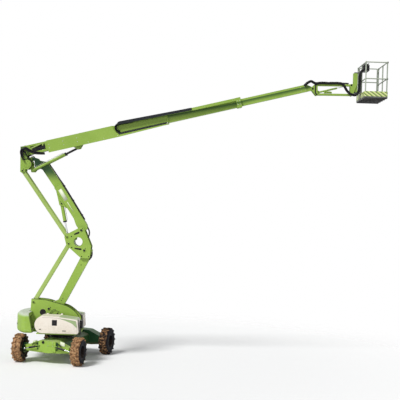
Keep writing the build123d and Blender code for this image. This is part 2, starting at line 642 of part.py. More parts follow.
# middle in side view, overall length, lean in degrees
KNUCKLE_SLOTS = (((388, 4047), 190, 24), ((448, 3556), 230, -7))
with BuildPart() as knuckle_mid:
    for hand in (-1, 1):
        with BuildSketch(side(hand * (SIDE_IN + SIDE_WALL / 2))):
            for centre, radius in (
                (TIE_LOWER_HEAD, 85),
                (RISER_TOP_PIN, 100),
                (UPPER_FOOT_PIN, 100),
                (TIE_UPPER_FOOT, 85),
                ((800, 3640), 60),
                ((790, 3300), 40),
                ((560, 3300), 40),
            ):
                with Locations(centre):
                    Circle(radius)
            make_hull()
            with Locations(PORT):
                Circle(PORT_RADIUS, mode=Mode.SUBTRACT)
            for middle, length, lean in KNUCKLE_SLOTS:
                with Locations(Location(middle, lean)):
                    SlotOverall(length, SLOT_WIDTH, mode=Mode.SUBTRACT)
        extrude(amount=SIDE_WALL / 2, both=True)
    for centre, radius in (
        (TIE_LOWER_HEAD, PIN_TIE),
        (RISER_TOP_PIN, PIN_MAIN),
        (UPPER_FOOT_PIN, PIN_MAIN),
    ):
        with BuildSketch(side(0)):
            with Locations(centre):
                Circle(radius)
        extrude(amount=SIDE_IN + SIDE_WALL + 12, both=True)
    for hand in (-1, 1):
        with BuildSketch(side(hand * (SIDE_IN + SIDE_WALL + 12 + 60) / 2)):
            with Locations(TIE_UPPER_FOOT):
                Circle(PIN_TIE)
        extrude(amount=(SIDE_IN + SIDE_WALL + 12 - 60) / 2, both=True)
    with BuildSketch(side(0)):
        with Locations(PORT):
            Circle(PORT_RADIUS + 10)
            Circle(PORT_RADIUS, mode=Mode.SUBTRACT)
    extrude(amount=SIDE_IN, both=True)
    # ears for the riser ram's eye
    for hand in (-1, 1):
        with BuildSketch(side(hand * 67)):
            with Locations(TIE_UPPER_FOOT):
                Circle(60)
            with Locations((330, 3870)):
                Circle(45)
            make_hull()
        extrude(amount=7, both=True)
write(knuckle_mid, "knuckle_mid")

# ---------------------------------------------------------------- upper riser
RISER_HEAD_PIN = add2(UPPER_FOOT_PIN, sub2(TIE_UPPER_HEAD, TIE_UPPER_FOOT))
UPPER_LENGTH = hypot(*sub2(RISER_HEAD_PIN, UPPER_FOOT_PIN))
TONGUE = 940.0
TONGUE_HALF = 45.0


def upper_side(y=0.0):
    """Side plane along the upper riser's pins, from its foot pin."""
    return line_plane(UPPER_FOOT_PIN, RISER_HEAD_PIN, y)


RISER_RAM_HEAD = (-149.0, 4987.0)
# along the line from foot pin to head pin: (along, across, negative is the riser's back)
upper_outline = [(-75, 60), (-75, -180), (60, -232), (UPPER_LENGTH - TONGUE, -290)]
upper_outline += [(UPPER_LENGTH - TONGUE, -30), (450, -2), (200, 62)]
tongue_outline = [(UPPER_LENGTH - TONGUE - 8, -290), (UPPER_LENGTH - 130, -292), (UPPER_LENGTH + 60, -110)]
tongue_outline += [(UPPER_LENGTH + 70, 40), (UPPER_LENGTH - 60, 72), (UPPER_LENGTH - 250, -30)]
tongue_outline += [(UPPER_LENGTH - TONGUE - 8, -30)]
with BuildPart() as riser_upper:
    box_beam(upper_outline, RISER_WALL, upper_side, RISER_HALF)
    box_beam(tongue_outline, RISER_WALL, upper_side, TONGUE_HALF)
    boss((0, 0), EAR, PIN_MAIN + RUN, RISER_HALF, upper_side)
    boss((UPPER_LENGTH, 0), 70, PIN_MAIN + RUN, TONGUE_HALF, upper_side)
    for hand in (-1, 1):
        with BuildSketch(side(hand * 67)):
            with BuildLine():
                Polyline((-349, 5448), (-230, 5000), (-180, 4915), (-110, 4915), (30, 4835), (-349, 5448))
            make_face()
            with Locations(RISER_RAM_HEAD):
                Circle(80)
        extrude(amount=7, both=True)
    with BuildSketch(side(0)):
        with Locations(RISER_RAM_HEAD):
            Circle(PIN_TIE)
    extrude(amount=85, both=True)
write(riser_upper, "riser_upper")

with BuildPart() as tie_upper:
    tie_bars(TIE_UPPER_FOOT, TIE_UPPER_HEAD)
write(tie_upper, "tie_upper")


# ---------------------------------------------------------------- rams
def ram(foot, eye, barrel_length, rod_start, bore, rod, places, pin, cheek):
    """Barrel and rod of a hydraulic ram between two side-view points, one for each y in places."""
    length = hypot(*sub2(eye, foot))
    plane = line_plane(foot, eye)
    with BuildPart() as barrel:
        for y in places:
            start = plane.origin + Vector(0, y, 0)
            with BuildSketch(Plane(origin=start, x_dir=(0, 1, 0), z_dir=plane.x_dir)):
                Circle(bore + 10)
            extrude(amount=barrel_length)
            with BuildSketch(line_plane(foot, eye, y)):
                Circle(pin + 28)
            extrude(amount=cheek, both=True)
            neck = start + plane.x_dir * (pin + 40)
            with BuildSketch(Plane(origin=neck, x_dir=(0, 1, 0), z_dir=plane.x_dir)):
                Circle(rod + FACE)
            extrude(amount=barrel_length, mode=Mode.SUBTRACT)
            with BuildSketch(line_plane(foot, eye, y)):
                Circle(pin + RUN)
            extrude(amount=bore + 20, both=True, mode=Mode.SUBTRACT)
    with BuildPart() as piston_rod:
        for y in places:
            start = plane.origin + Vector(0, y, 0) + plane.x_dir * rod_start
            with BuildSketch(Plane(origin=start, x_dir=(0, 1, 0), z_dir=plane.x_dir)):
                Circle(rod)
            extrude(amount=length - rod_start - 10)
            with BuildSketch(line_plane(foot, eye, y)):
                with Locations((length, 0)):
                    Circle(pin + 16)
            extrude(amount=cheek, both=True)
    return barrel, piston_rod


riser_barrel, riser_rod = ram(RISER_RAM_HEAD, TIE_UPPER_FOOT, 600, 510, 46, 26, (0,), PIN_TIE, 46)
write(riser_barrel, "riser_ram_barrel")
write(riser_rod, "riser_ram_rod")

# ---------------------------------------------------------------- boom geometry
LUFF_EYE = (1683.0, -215.0)  # in the boom's line
LUFF_PIN = 20.0
LUFF_CHEEK = 20.0
turn = radians(BOOM_ANGLE)
LUFF_EYE_SIDE = (
    BOOM_PIVOT[0] + LUFF_EYE[0] * cos(turn) - LUFF_EYE[1] * sin(turn),
    BOOM_PIVOT[1] + LUFF_EYE[0] * sin(turn) + LUFF_EYE[1] * cos(turn),
)
LUFF_Y = 114.0
LUFF_SIDES = (-LUFF_Y, LUFF_Y)
luff_barrel, luff_rod = ram(LUFF_FOOT_PIN, LUFF_EYE_SIDE, 1190, 560, 32, 22, LUFF_SIDES, LUFF_PIN, LUFF_CHEEK)
write(luff_barrel, "luff_ram_barrels")
write(luff_rod, "luff_ram_rods")

# ---------------------------------------------------------------- top knuckle
INNER_PLATE = 57.0
BOOM_PIN = 40.0
with BuildPart() as knuckle_top:
    for hand in (-1, 1):
        with BuildSketch(side(hand * (SIDE_IN + SIDE_WALL / 2))):
            Polygon(
                (-1493, 6768), (-1478, 5951), (-1330, 5960), (-1250, 6600), (-1300, 6720), (-1400, 6768),
                align=None,
            )
            with Locations((-1277, 6213)):
                Circle(168)
            with Locations(TIE_UPPER_HEAD):
                Circle(72)
            with Locations(BOOM_PIVOT):
                Circle(125)
        extrude(amount=SIDE_WALL / 2, both=True)
        with BuildSketch(side(hand * INNER_PLATE)):
            Polygon(
                (-1400, 6330), (-1150, 6460), (-930, 6400), (-850, 6290), (-880, 6150), (-1030, 5960),
                (-1150, 5960), (-1190, 6120), (-1400, 6150), align=None,
            )
            Polygon(
                (-1150, 6160), (-1130, 6330), (-1060, 6330), (-1040, 6140), align=None, mode=Mode.SUBTRACT
            )
        extrude(amount=7, both=True)
        with BuildSketch(side(hand * (INNER_PLATE + LUFF_Y + LUFF_CHEEK + 18) / 2)):
            with Locations(LUFF_FOOT_PIN):
                Circle(LUFF_PIN)
        extrude(amount=(LUFF_Y + LUFF_CHEEK + 18 - INNER_PLATE) / 2, both=True)
    with BuildSketch(side(0)):
        with Locations(RISER_HEAD_PIN):
            Circle(PIN_MAIN)
    extrude(amount=INNER_PLATE + 7, both=True)
    with BuildSketch(side(0)):
        with Locations(BOOM_PIVOT):
            Circle(BOOM_PIN)
    extrude(amount=SIDE_IN + SIDE_WALL + 12, both=True)
    for hand in (-1, 1):
        with BuildSketch(side(hand * (SIDE_IN + TIE_IN - GAP) / 2)):
            with Locations(TIE_UPPER_HEAD):
                Circle(PIN_TIE)
        extrude(amount=(SIDE_IN + SIDE_WALL + 12 - TIE_IN + GAP) / 2 + 6, both=True)
    # back plate and cross web between the plates
    with BuildSketch(side(0)):
        Polygon((-1486, 6340), (-1468, 6340), (-1462, 6110), (-1480, 6110), align=None)
        Polygon((-1475, 6150), (-1380, 6150), (-1380, 6330), (-1475, 6330), align=None)
    extrude(amount=SIDE_IN, both=True)
write(knuckle_top, "knuckle_top")

# ---------------------------------------------------------------- outer boom
HOSE_IN = 122.0  # hose track, on the boom's right: inner and outer side
HOSE_OUT = 228.0
GUARD_Y = 239.0
GUARD_WALL = 6.0
GUARD_BOTTOM = -177.0
TRACK_FLOOR = -120.0
BEND = (3102.0, 113.0)
BEND_RADIUS = 148.0
REAR_PLATE = 10.0
TRACK_REAR = 1900.0
GUARD_BRACKETS = (790.0, 1250.0, 1700.0)
LUG_REAR = 1450.0
LUG_FRONT = 1880.0
LUG_WEB = 50.0
LUG_OUT = LUFF_Y + LUFF_CHEEK + GAP + 12
with BuildPart() as boom_outer:
    for inset, mode in ((0, Mode.ADD), (BOOM_WALL, Mode.SUBTRACT)):
        with BuildSketch(boom_section(BOOM_REAR)):
            with Locations((0, (BOOM_TOP + BOOM_BOTTOM) / 2)):
                Rectangle(2 * (BOOM_HALF - inset), BOOM_TOP - BOOM_BOTTOM - 2 * inset)
        extrude(amount=BOOM_FRONT - BOOM_REAR, mode=mode)
    # rear bracket: two open plates on the box's sides, back to the pivot
    for hand in (-1, 1):
        with BuildSketch(boom_side(hand * (BOOM_HALF - REAR_PLATE / 2))):
            Polygon(
                (-110, 210), (-110, 60), (60, -110), (BOOM_REAR + 4, BOOM_BOTTOM), (BOOM_REAR + 4, 210),
                align=None,
            )
            Circle(110)
            Polygon(
                (170, 150), (250, -40), (BOOM_REAR - 90, -30), (BOOM_REAR - 90, 150),
                align=None, mode=Mode.SUBTRACT,
            )
        extrude(amount=REAR_PLATE / 2, both=True)
    boss((0, 0), 85, BOOM_PIN + RUN, SIDE_IN - FACE, boom_side)
    with BuildSketch(boom_side(0)):
        Polygon((-110, 210), (-110, 200), (BOOM_REAR, 200), (BOOM_REAR, 210), align=None)
    extrude(amount=BOOM_HALF, both=True)
    # guard and floor of the hose track
    with BuildSketch(boom_side(-GUARD_Y - GUARD_WALL / 2)):
        with BuildLine():
            Polyline((BOOM_REAR, GUARD_BOTTOM), (BOOM_REAR, BOOM_TOP), (BEND[0] - 195, BOOM_TOP))
            ThreePointArc((BEND[0] - 195, BOOM_TOP), (BEND[0] - 172, 60), (BEND[0] - 60, -75))
            Polyline((BEND[0] - 60, -75), (BOOM_FRONT, -60), (BOOM_FRONT, TRACK_FLOOR - 14))
            Polyline((BOOM_FRONT, TRACK_FLOOR - 14), (BEND[0] - 100, GUARD_BOTTOM), (BOOM_REAR, GUARD_BOTTOM))
        make_face()
    extrude(amount=GUARD_WALL / 2, both=True)
    with BuildSketch(boom_section(TRACK_REAR)):
        with Locations((-(BOOM_HALF - 10 + GUARD_Y + 3) / 2, TRACK_FLOOR - 3)):
            Rectangle(GUARD_Y + 3 - BOOM_HALF + 10, 6)
        with Locations((-BOOM_HALF + 5, (TRACK_FLOOR + BOOM_BOTTOM) / 2)):
            Rectangle(10, BOOM_BOTTOM - TRACK_FLOOR + 6)
    extrude(amount=BOOM_FRONT - TRACK_REAR)
    # brackets of the guard behind the track
    for u in GUARD_BRACKETS:
        with BuildSketch(boom_section(u)):
            with Locations((-(BOOM_HALF - 4 + GUARD_Y + 3) / 2, 20)):
                Rectangle(GUARD_Y + 3 - BOOM_HALF + 4, 180)
        extrude(amount=12)
    # lugs for the luff rams' eyes, the outer ones hung from two webs each
    for hand in (-1, 1):
        for y in (LUFF_Y - LUFF_CHEEK - GAP - 6, LUFF_Y + LUFF_CHEEK + GAP + 6):
            with BuildSketch(boom_side(hand * y)):
                Polygon(
                    (LUG_REAR, BOOM_BOTTOM + 4), (LUFF_EYE[0] - 43, LUFF_EYE[1] - 45),
                    (LUFF_EYE[0] + 43, LUFF_EYE[1] - 45), (LUG_FRONT, BOOM_BOTTOM + 4), align=None,
                )
            extrude(amount=6, both=True)
        for u in (LUG_REAR, LUG_FRONT - LUG_WEB):
            with BuildSketch(boom_section(u)):
                with Locations((hand * (BOOM_HALF - 10 + LUG_OUT) / 2, BOOM_BOTTOM - 4)):
                    Rectangle(LUG_OUT - BOOM_HALF + 10, 16)
            extrude(amount=LUG_WEB)
write(boom_outer, "boom_outer")

with BuildPart() as chain_lower:
    with BuildSketch(boom_section(1950)):
        with Locations((-(HOSE_IN + HOSE_OUT) / 2, (TRACK_FLOOR + BEND[1] - BEND_RADIUS - FACE) / 2)):
            Rectangle(HOSE_OUT - HOSE_IN - 12, BEND[1] - BEND_RADIUS - FACE - TRACK_FLOOR)
    extrude(amount=BOOM_FRONT - 50 - 1950)
write(chain_lower, "hose_chain_lower")

CHAIN = 62.0
TAIL = 500.0
CHANNEL_WALL = 4.0
RISE = 1 / 30  # the upper run falls towards the front
with BuildPart() as chain_bend:
    with BuildSketch(boom_side(-(HOSE_IN + HOSE_OUT) / 2)):
        with BuildLine():
            ThreePointArc(
                (BEND[0], BEND[1] + BEND_RADIUS),
                (BEND[0] - BEND_RADIUS, BEND[1]),
                (BEND[0], BEND[1] - BEND_RADIUS),
            )
            Line((BEND[0], BEND[1] - BEND_RADIUS), (BEND[0], BEND[1] - BEND_RADIUS + CHAIN))
            ThreePointArc(
                (BEND[0], BEND[1] - BEND_RADIUS + CHAIN),
                (BEND[0] - BEND_RADIUS + CHAIN, BEND[1]),
                (BEND[0], BEND[1] + BEND_RADIUS - CHAIN),
            )
            Polyline(
                (BEND[0], BEND[1] + BEND_RADIUS - CHAIN),
                (BEND[0] + TAIL, BEND[1] + BEND_RADIUS - CHAIN + 5),
                (BEND[0] + TAIL, BEND[1] + BEND_RADIUS - TAIL * RISE),
                (BEND[0], BEND[1] + BEND_RADIUS),
            )
        make_face()
    extrude(amount=(HOSE_OUT - HOSE_IN) / 2 - CHANNEL_WALL - FACE, both=True)
write(chain_bend, "hose_chain_bend")

# ---------------------------------------------------------------- middle boom with the hose channel
MID_BOTTOM = -72.0
MID_TOP = 190.0
MID_HALF = 92.0
MID_REAR = 2984.0
MID_FRONT = 7092.0
COLLAR = 156.0
COLLAR_BOTTOM = -96.0
COLLAR_TOP = 225.0
CHANNEL_REAR = 3062.0
CHANNEL_TOP = 305.0
CHANNEL_DEPTH = 90.0
CHAIN_FRONT = 5528.0
with BuildPart() as boom_mid:
    for inset, mode in ((0, Mode.ADD), (BOOM_WALL, Mode.SUBTRACT)):
        with BuildSketch(boom_section(MID_REAR)):
            with Locations((0, (MID_TOP + MID_BOTTOM) / 2)):
                Rectangle(2 * (MID_HALF - inset), MID_TOP - MID_BOTTOM - 2 * inset)
        extrude(amount=MID_FRONT - MID_REAR, mode=mode)
    with BuildSketch(boom_section(MID_FRONT - COLLAR)):
        with Locations((-54, (COLLAR_TOP + COLLAR_BOTTOM) / 2)):
            Rectangle(2 * HOSE_OUT - 108, COLLAR_TOP - COLLAR_BOTTOM)
        with Locations((0, (MID_TOP + MID_BOTTOM) / 2)):
            Rectangle(2 * MID_HALF - 4, MID_TOP - MID_BOTTOM - 4, mode=Mode.SUBTRACT)
    extrude(amount=COLLAR)
    # steel channel over the moving run, open below
    drop = (CHAIN_FRONT - CHANNEL_REAR) * RISE
    front_top = CHANNEL_TOP - drop
    with BuildSketch(boom_side(-(HOSE_IN + HOSE_OUT) / 2)):
        with BuildLine():
            ThreePointArc(
                (CHANNEL_REAR, CHANNEL_TOP - CHANNEL_DEPTH),
                (CHANNEL_REAR + 24, CHANNEL_TOP - 28),
                (CHANNEL_REAR + 90, CHANNEL_TOP),
            )
            Polyline(
                (CHANNEL_REAR + 90, CHANNEL_TOP),
                (CHAIN_FRONT, front_top),
                (MID_FRONT - COLLAR + 10, front_top),
                (MID_FRONT - COLLAR + 10, front_top - CHANNEL_DEPTH),
                (CHAIN_FRONT, front_top - CHANNEL_DEPTH),
                (CHANNEL_REAR, CHANNEL_TOP - CHANNEL_DEPTH),
            )
        make_face()
    extrude(amount=(HOSE_OUT - HOSE_IN) / 2, both=True)
    with BuildSketch(boom_side(-(HOSE_IN + HOSE_OUT) / 2)):
        Polygon(
            (CHANNEL_REAR - 40, CHANNEL_TOP - CHANNEL_WALL),
            (CHANNEL_REAR + 90, CHANNEL_TOP - CHANNEL_WALL),
            (CHAIN_FRONT, front_top - CHANNEL_WALL),
            (CHAIN_FRONT, front_top - CHANNEL_DEPTH - 10),
            (CHANNEL_REAR - 40, CHANNEL_TOP - CHANNEL_DEPTH - 10),
            align=None,
        )
    extrude(amount=(HOSE_OUT - HOSE_IN) / 2 - CHANNEL_WALL, both=True, mode=Mode.SUBTRACT)
write(boom_mid, "boom_mid")

# ---------------------------------------------------------------- inner boom
INNER_BOTTOM = -57.0
INNER_TOP = 172.0
INNER_HALF = 75.0
INNER_REAR = 5250.0
INNER_FRONT = 9250.0
tip = sub2(JIB_PIVOT, BOOM_PIVOT)
TIP = (tip[0] * cos(turn) + tip[1] * sin(turn), tip[1] * cos(turn) - tip[0] * sin(turn))
with BuildPart() as boom_inner:
    for inset, mode in ((0, Mode.ADD), (BOOM_WALL, Mode.SUBTRACT)):
        with BuildSketch(boom_section(INNER_REAR)):
            with Locations((0, (INNER_TOP + INNER_BOTTOM) / 2)):
                Rectangle(2 * (INNER_HALF - inset), INNER_TOP - INNER_BOTTOM - 2 * inset)
        extrude(amount=INNER_FRONT - INNER_REAR, mode=mode)
    with BuildSketch(boom_side(0)):
        Polygon(
            (INNER_FRONT - 10, INNER_BOTTOM), (INNER_FRONT - 10, INNER_TOP), (INNER_FRONT + 20, INNER_TOP),
            (TIP[0], TIP[1] + 55), (TIP[0], TIP[1] - 50), align=None,
        )
        with Locations(TIP):
            Circle(52)
            Circle(PIN_TIE + RUN, mode=Mode.SUBTRACT)
    extrude(amount=52, both=True)
write(boom_inner, "boom_inner")

# ---------------------------------------------------------------- jib
JIB_PLATE = 82.0
ARM_IN = 44.0
ARM_OUT = 74.0
ARM_DEPTH = 58.0
JIB_PIN = 20.0
JIB_RAM_FOOT = (8010.0, 8830.0)
JIB_FAR_LOWER = add2(JIB_LOWER_PIN, JIB_REACH)
JIB_FAR_UPPER = add2(JIB_UPPER_PIN, JIB_REACH)
with BuildPart() as jib_base:
    for hand in (-1, 1):
        with BuildSketch(side(hand * (JIB_PLATE + 5))):
            for centre, radius in ((JIB_PIVOT, 60), (JIB_LOWER_PIN, 45), (JIB_UPPER_PIN, 45)):
                with Locations(centre):
                    Circle(radius)
            make_hull()
        extrude(amount=5, both=True)
        with BuildSketch(side(hand * 35.5)):
            with Locations((JIB_RAM_FOOT[0] - 118, JIB_RAM_FOOT[1] + 60), JIB_RAM_FOOT):
                Circle(30)
            make_hull()
        extrude(amount=2.5, both=True)
    with BuildSketch(side(0)):
        with Locations((JIB_RAM_FOOT[0] - 125, JIB_RAM_FOOT[1] + 70)):
            Rectangle(30, 150)
    extrude(amount=JIB_PLATE, both=True)
    with BuildSketch(side(0)):
        with Locations(JIB_RAM_FOOT):
            Circle(12)
    extrude(amount=38, both=True)
    for centre, radius in ((JIB_PIVOT, PIN_TIE), (JIB_LOWER_PIN, JIB_PIN), (JIB_UPPER_PIN, JIB_PIN)):
        with BuildSketch(side(0)):
            with Locations(centre):
                Circle(radius)
        extrude(amount=JIB_PLATE + 20, both=True)
write(jib_base, "jib_base")


def jib_arm(foot, head):
    """Pair of jib tubes joined by cross tubes, added to the open builder."""
    length = hypot(*sub2(head, foot))
    for hand in (-1, 1):
        with BuildSketch(line_plane(foot, head, hand * (ARM_IN + ARM_OUT) / 2)) as tube:
            with Locations((length / 2, 0)):
                SlotCenterToCenter(length, ARM_DEPTH)
            with Locations((0, 0), (length, 0)):
                Circle(JIB_PIN + RUN, mode=Mode.SUBTRACT)
        extrude(tube.sketch, amount=(ARM_OUT - ARM_IN) / 2, both=True)


with BuildPart() as jib_lower_arm:
    jib_arm(JIB_LOWER_PIN, JIB_FAR_LOWER)
    with BuildSketch(line_plane(JIB_LOWER_PIN, JIB_FAR_LOWER)):
        with Locations((700, 0)):
            Rectangle(60, 30)
    extrude(amount=ARM_IN, both=True)
write(jib_lower_arm, "jib_lower_arm")

JIB_RAM_EYE = add2(JIB_UPPER_PIN, (1010, 2))
with BuildPart() as jib_upper_arm:
    jib_arm(JIB_UPPER_PIN, JIB_FAR_UPPER)
write(jib_upper_arm, "jib_upper_arm")

jib_barrel, jib_rod = ram(JIB_RAM_FOOT, JIB_RAM_EYE, 600, 330, 18, 14, (0,), 12, 12)
write(jib_barrel, "jib_ram_barrel")
write(jib_rod, "jib_ram_rod")

POST_TOP = POST_BOTTOM + POST_HEIGHT
CHEEK_EYE = 42.0
CHEEK_HEAD = 45.0
with BuildPart() as jib_post:
    with BuildSketch(Plane.XY.offset(POST_BOTTOM)):
        with Locations((YAW_X - 20, 0)):
            Rectangle(130, 120)
    extrude(amount=POST_TOP - POST_BOTTOM)
    for hand in (-1, 1):
        with BuildSketch(side(hand * (JIB_PLATE + 5))):
            with Locations(JIB_FAR_LOWER, JIB_FAR_UPPER):
                Circle(CHEEK_EYE)
            with Locations((YAW_X - 30, POST_BOTTOM + 210)):
                Circle(CHEEK_HEAD)
            make_hull()
        extrude(amount=5, both=True)
    with BuildSketch(side(0)):
        with Locations((YAW_X - 20, POST_BOTTOM + 200)):
            Rectangle(60, 100)
    extrude(amount=JIB_PLATE, both=True)
    for centre in (JIB_FAR_LOWER, JIB_FAR_UPPER):
        with BuildSketch(side(0)):
            with Locations(centre):
                Circle(JIB_PIN)
        extrude(amount=JIB_PLATE + 20, both=True)
    with BuildSketch(Plane.XY.offset(POST_BOTTOM - 40)):
        with Locations((YAW_X, 0)):
            Circle(PIN_TIE)
    extrude(amount=POST_TOP - POST_BOTTOM + 80)
write(jib_post, "jib_post")

# ---------------------------------------------------------------- basket
TUBE = 19.0
CORNER = 30.0
MID_RAIL = 560.0
SHEET = 4.0
TOE_HEIGHT = 160.0
basket_mid = (BASKET_X[0] + BASKET_X[1]) / 2
FLOOR_DEPTH = 45.0
with BuildPart() as basket_floor:
    with BuildSketch(Plane.XY.offset(BASKET_FLOOR - FLOOR_DEPTH)):
        with Locations((basket_mid, 0)):
            RectangleRounded(BASKET_LENGTH, 2 * BASKET_HALF, CORNER)
    extrude(amount=FLOOR_DEPTH)
    for low, high in ((POST_BOTTOM - 36, POST_BOTTOM - FACE), (POST_TOP + FACE, POST_TOP + 36)):
        with BuildSketch(Plane.XY.offset(low)):
            with Locations(((YAW_X + BASKET_X[0] + 10) / 2, 0)):
                Rectangle(BASKET_X[0] + 10 - YAW_X, 110)
            with Locations((YAW_X, 0)):
                Circle(55)
                Circle(PIN_TIE + RUN, mode=Mode.SUBTRACT)
        extrude(amount=high - low)
    with BuildSketch(Plane.XY.offset(BASKET_FLOOR - FLOOR_DEPTH)):
        with Locations((BASKET_X[0], -45), (BASKET_X[0], 45)):
            Rectangle(22, 20)
    extrude(amount=POST_TOP + 36 - BASKET_FLOOR + FLOOR_DEPTH)
write(basket_floor, "basket_floor")

with BuildPart() as toe_boards:
    with BuildSketch(Plane.XY.offset(BASKET_FLOOR)):
        with Locations((basket_mid, 0)):
            RectangleRounded(BASKET_LENGTH, 2 * BASKET_HALF, CORNER)
            RectangleRounded(
                BASKET_LENGTH - 2 * SHEET, 2 * (BASKET_HALF - SHEET), CORNER - SHEET, mode=Mode.SUBTRACT
            )
        with Locations((BASKET_X[0], 0)):
            Rectangle(60, 130, mode=Mode.SUBTRACT)
    extrude(amount=TOE_HEIGHT)
write(toe_boards, "toe_boards")

rail_x = (BASKET_X[0] + 32, BASKET_X[1] - 32)
rail_y = (-BASKET_HALF + 32, BASKET_HALF - 32)
GATE_HINGES = (TOE_HEIGHT + 120, RAIL_HEIGHT - 160)  # bottoms of the gate's sleeves, above the floor
SLEEVE = 9.0
SLEEVE_LENGTH = 40.0
SLEEVE_PIN = 5.0
TAB = 6.0
TAB_GAP = 2.0
gate_axis = (rail_x[1] - 40, rail_y[1] - 30)
with BuildPart() as basket_rails:
    for height in (MID_RAIL, RAIL_HEIGHT - TUBE):
        for x in rail_x:
            corner = (x, rail_y[0], BASKET_FLOOR + height)
            with BuildSketch(Plane(origin=corner, x_dir=(1, 0, 0), z_dir=(0, 1, 0))):
                Circle(TUBE)
            extrude(amount=rail_y[1] - rail_y[0])
        corner = (rail_x[0], rail_y[0], BASKET_FLOOR + height)
        with BuildSketch(Plane(origin=corner, x_dir=(0, 1, 0), z_dir=(1, 0, 0))):
            Circle(TUBE)
        extrude(amount=rail_x[1] - rail_x[0])
    with BuildSketch(Plane.XY.offset(BASKET_FLOOR)):
        with Locations(*((x, y) for x in rail_x for y in (rail_y[0], 0, rail_y[1]))):
            Circle(TUBE + 1)
    extrude(amount=RAIL_HEIGHT - TUBE)
    # tabs and pins that the gate hangs on
    for height in GATE_HINGES:
        for low in (height - TAB_GAP - TAB, height + SLEEVE_LENGTH + TAB_GAP):
            with BuildSketch(Plane.XY.offset(BASKET_FLOOR + low)):
                with Locations(gate_axis, (rail_x[1], gate_axis[1])):
                    Circle(SLEEVE)
                make_hull()
                with Locations((rail_x[1], rail_y[1] - TUBE)):
                    Rectangle(20, 2 * SLEEVE)
            extrude(amount=TAB)
        with BuildSketch(Plane.XY.offset(BASKET_FLOOR + height - TAB_GAP - TAB)):
            with Locations(gate_axis):
                Circle(SLEEVE_PIN)
        extrude(amount=SLEEVE_LENGTH + 2 * TAB_GAP + 2 * TAB)
write(basket_rails, "basket_rails")

gate_frame = (rail_x[0] + TUBE + FACE, rail_x[1] - TUBE - FACE)
with BuildPart() as basket_gate:
    with BuildSketch(Plane(origin=(0, rail_y[1], BASKET_FLOOR), x_dir=(1, 0, 0), z_dir=(0, -1, 0))):
        with Locations(((gate_frame[0] + gate_frame[1]) / 2, (TOE_HEIGHT + RAIL_HEIGHT) / 2)):
            RectangleRounded(gate_frame[1] - gate_frame[0], RAIL_HEIGHT - TOE_HEIGHT - 12, 40)
            RectangleRounded(
                gate_frame[1] - gate_frame[0] - 60, RAIL_HEIGHT - TOE_HEIGHT - 72, 20, mode=Mode.SUBTRACT
            )
            Rectangle(gate_frame[1] - gate_frame[0] - 30, 30)
    extrude(amount=15, both=True)
    # sleeves on the tabs' pins
    for height in GATE_HINGES:
        with BuildSketch(Plane.XY.offset(BASKET_FLOOR + height)):
            with Locations(gate_axis):
                Circle(SLEEVE)
            with Locations((gate_axis[0], (gate_axis[1] + rail_y[1] - 10) / 2)):
                Rectangle(2 * SLEEVE - 4, rail_y[1] - 10 - gate_axis[1])
            with Locations(gate_axis):
                Circle(SLEEVE_PIN + RUN, mode=Mode.SUBTRACT)
        extrude(amount=SLEEVE_LENGTH)
write(basket_gate, "basket_gate")

CONSOLE_REAR = 60.0
CONSOLE_DEPTH = 170.0
CONSOLE_BOTTOM = 875.0
CONSOLE_FRONT = 1055.0
CONSOLE_TOP = 1125.0
CONSOLE_HALF = 230.0
with BuildPart() as basket_console:
    with BuildSketch(side(0)):
        with Locations((BASKET_REAR + CONSOLE_REAR, BASKET_FLOOR)):
            Polygon(
                (0, CONSOLE_BOTTOM), (0, CONSOLE_FRONT), (50, CONSOLE_TOP),
                (CONSOLE_DEPTH, CONSOLE_FRONT), (CONSOLE_DEPTH, CONSOLE_BOTTOM), align=None,
            )
    extrude(amount=CONSOLE_HALF, both=True)
write(basket_console, "basket_console")

# hoses along the jib, clipped to its upper arm
HOSE = 16.0
HOSE_SIDE = 56.0
# route from the upper arm's foot pin: (along, up)
HOSE_ROUTE = ((-23, 51), (77, 67), (957, 82), (1047, 73))
with BuildPart() as jib_hoses:
    for y in (-HOSE_SIDE, HOSE_SIDE):
        route = [(JIB_UPPER_PIN[0] + along, y, JIB_UPPER_PIN[1] + up) for along, up in HOSE_ROUTE]
        with BuildLine():
            FilletPolyline(*route, radius=60)
        with BuildSketch(Plane(origin=route[0], z_dir=Vector(*route[1]) - Vector(*route[0]))):
            Circle(HOSE)
        sweep()
write(jib_hoses, "jib_hoses")
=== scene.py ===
import logging
from dataclasses import dataclass
from enum import Enum
from math import atan2, cos, hypot, pi, radians, sin
from typing import Optional, Sequence, Union

import bmesh
import bpy
from mathutils import Matrix, Vector


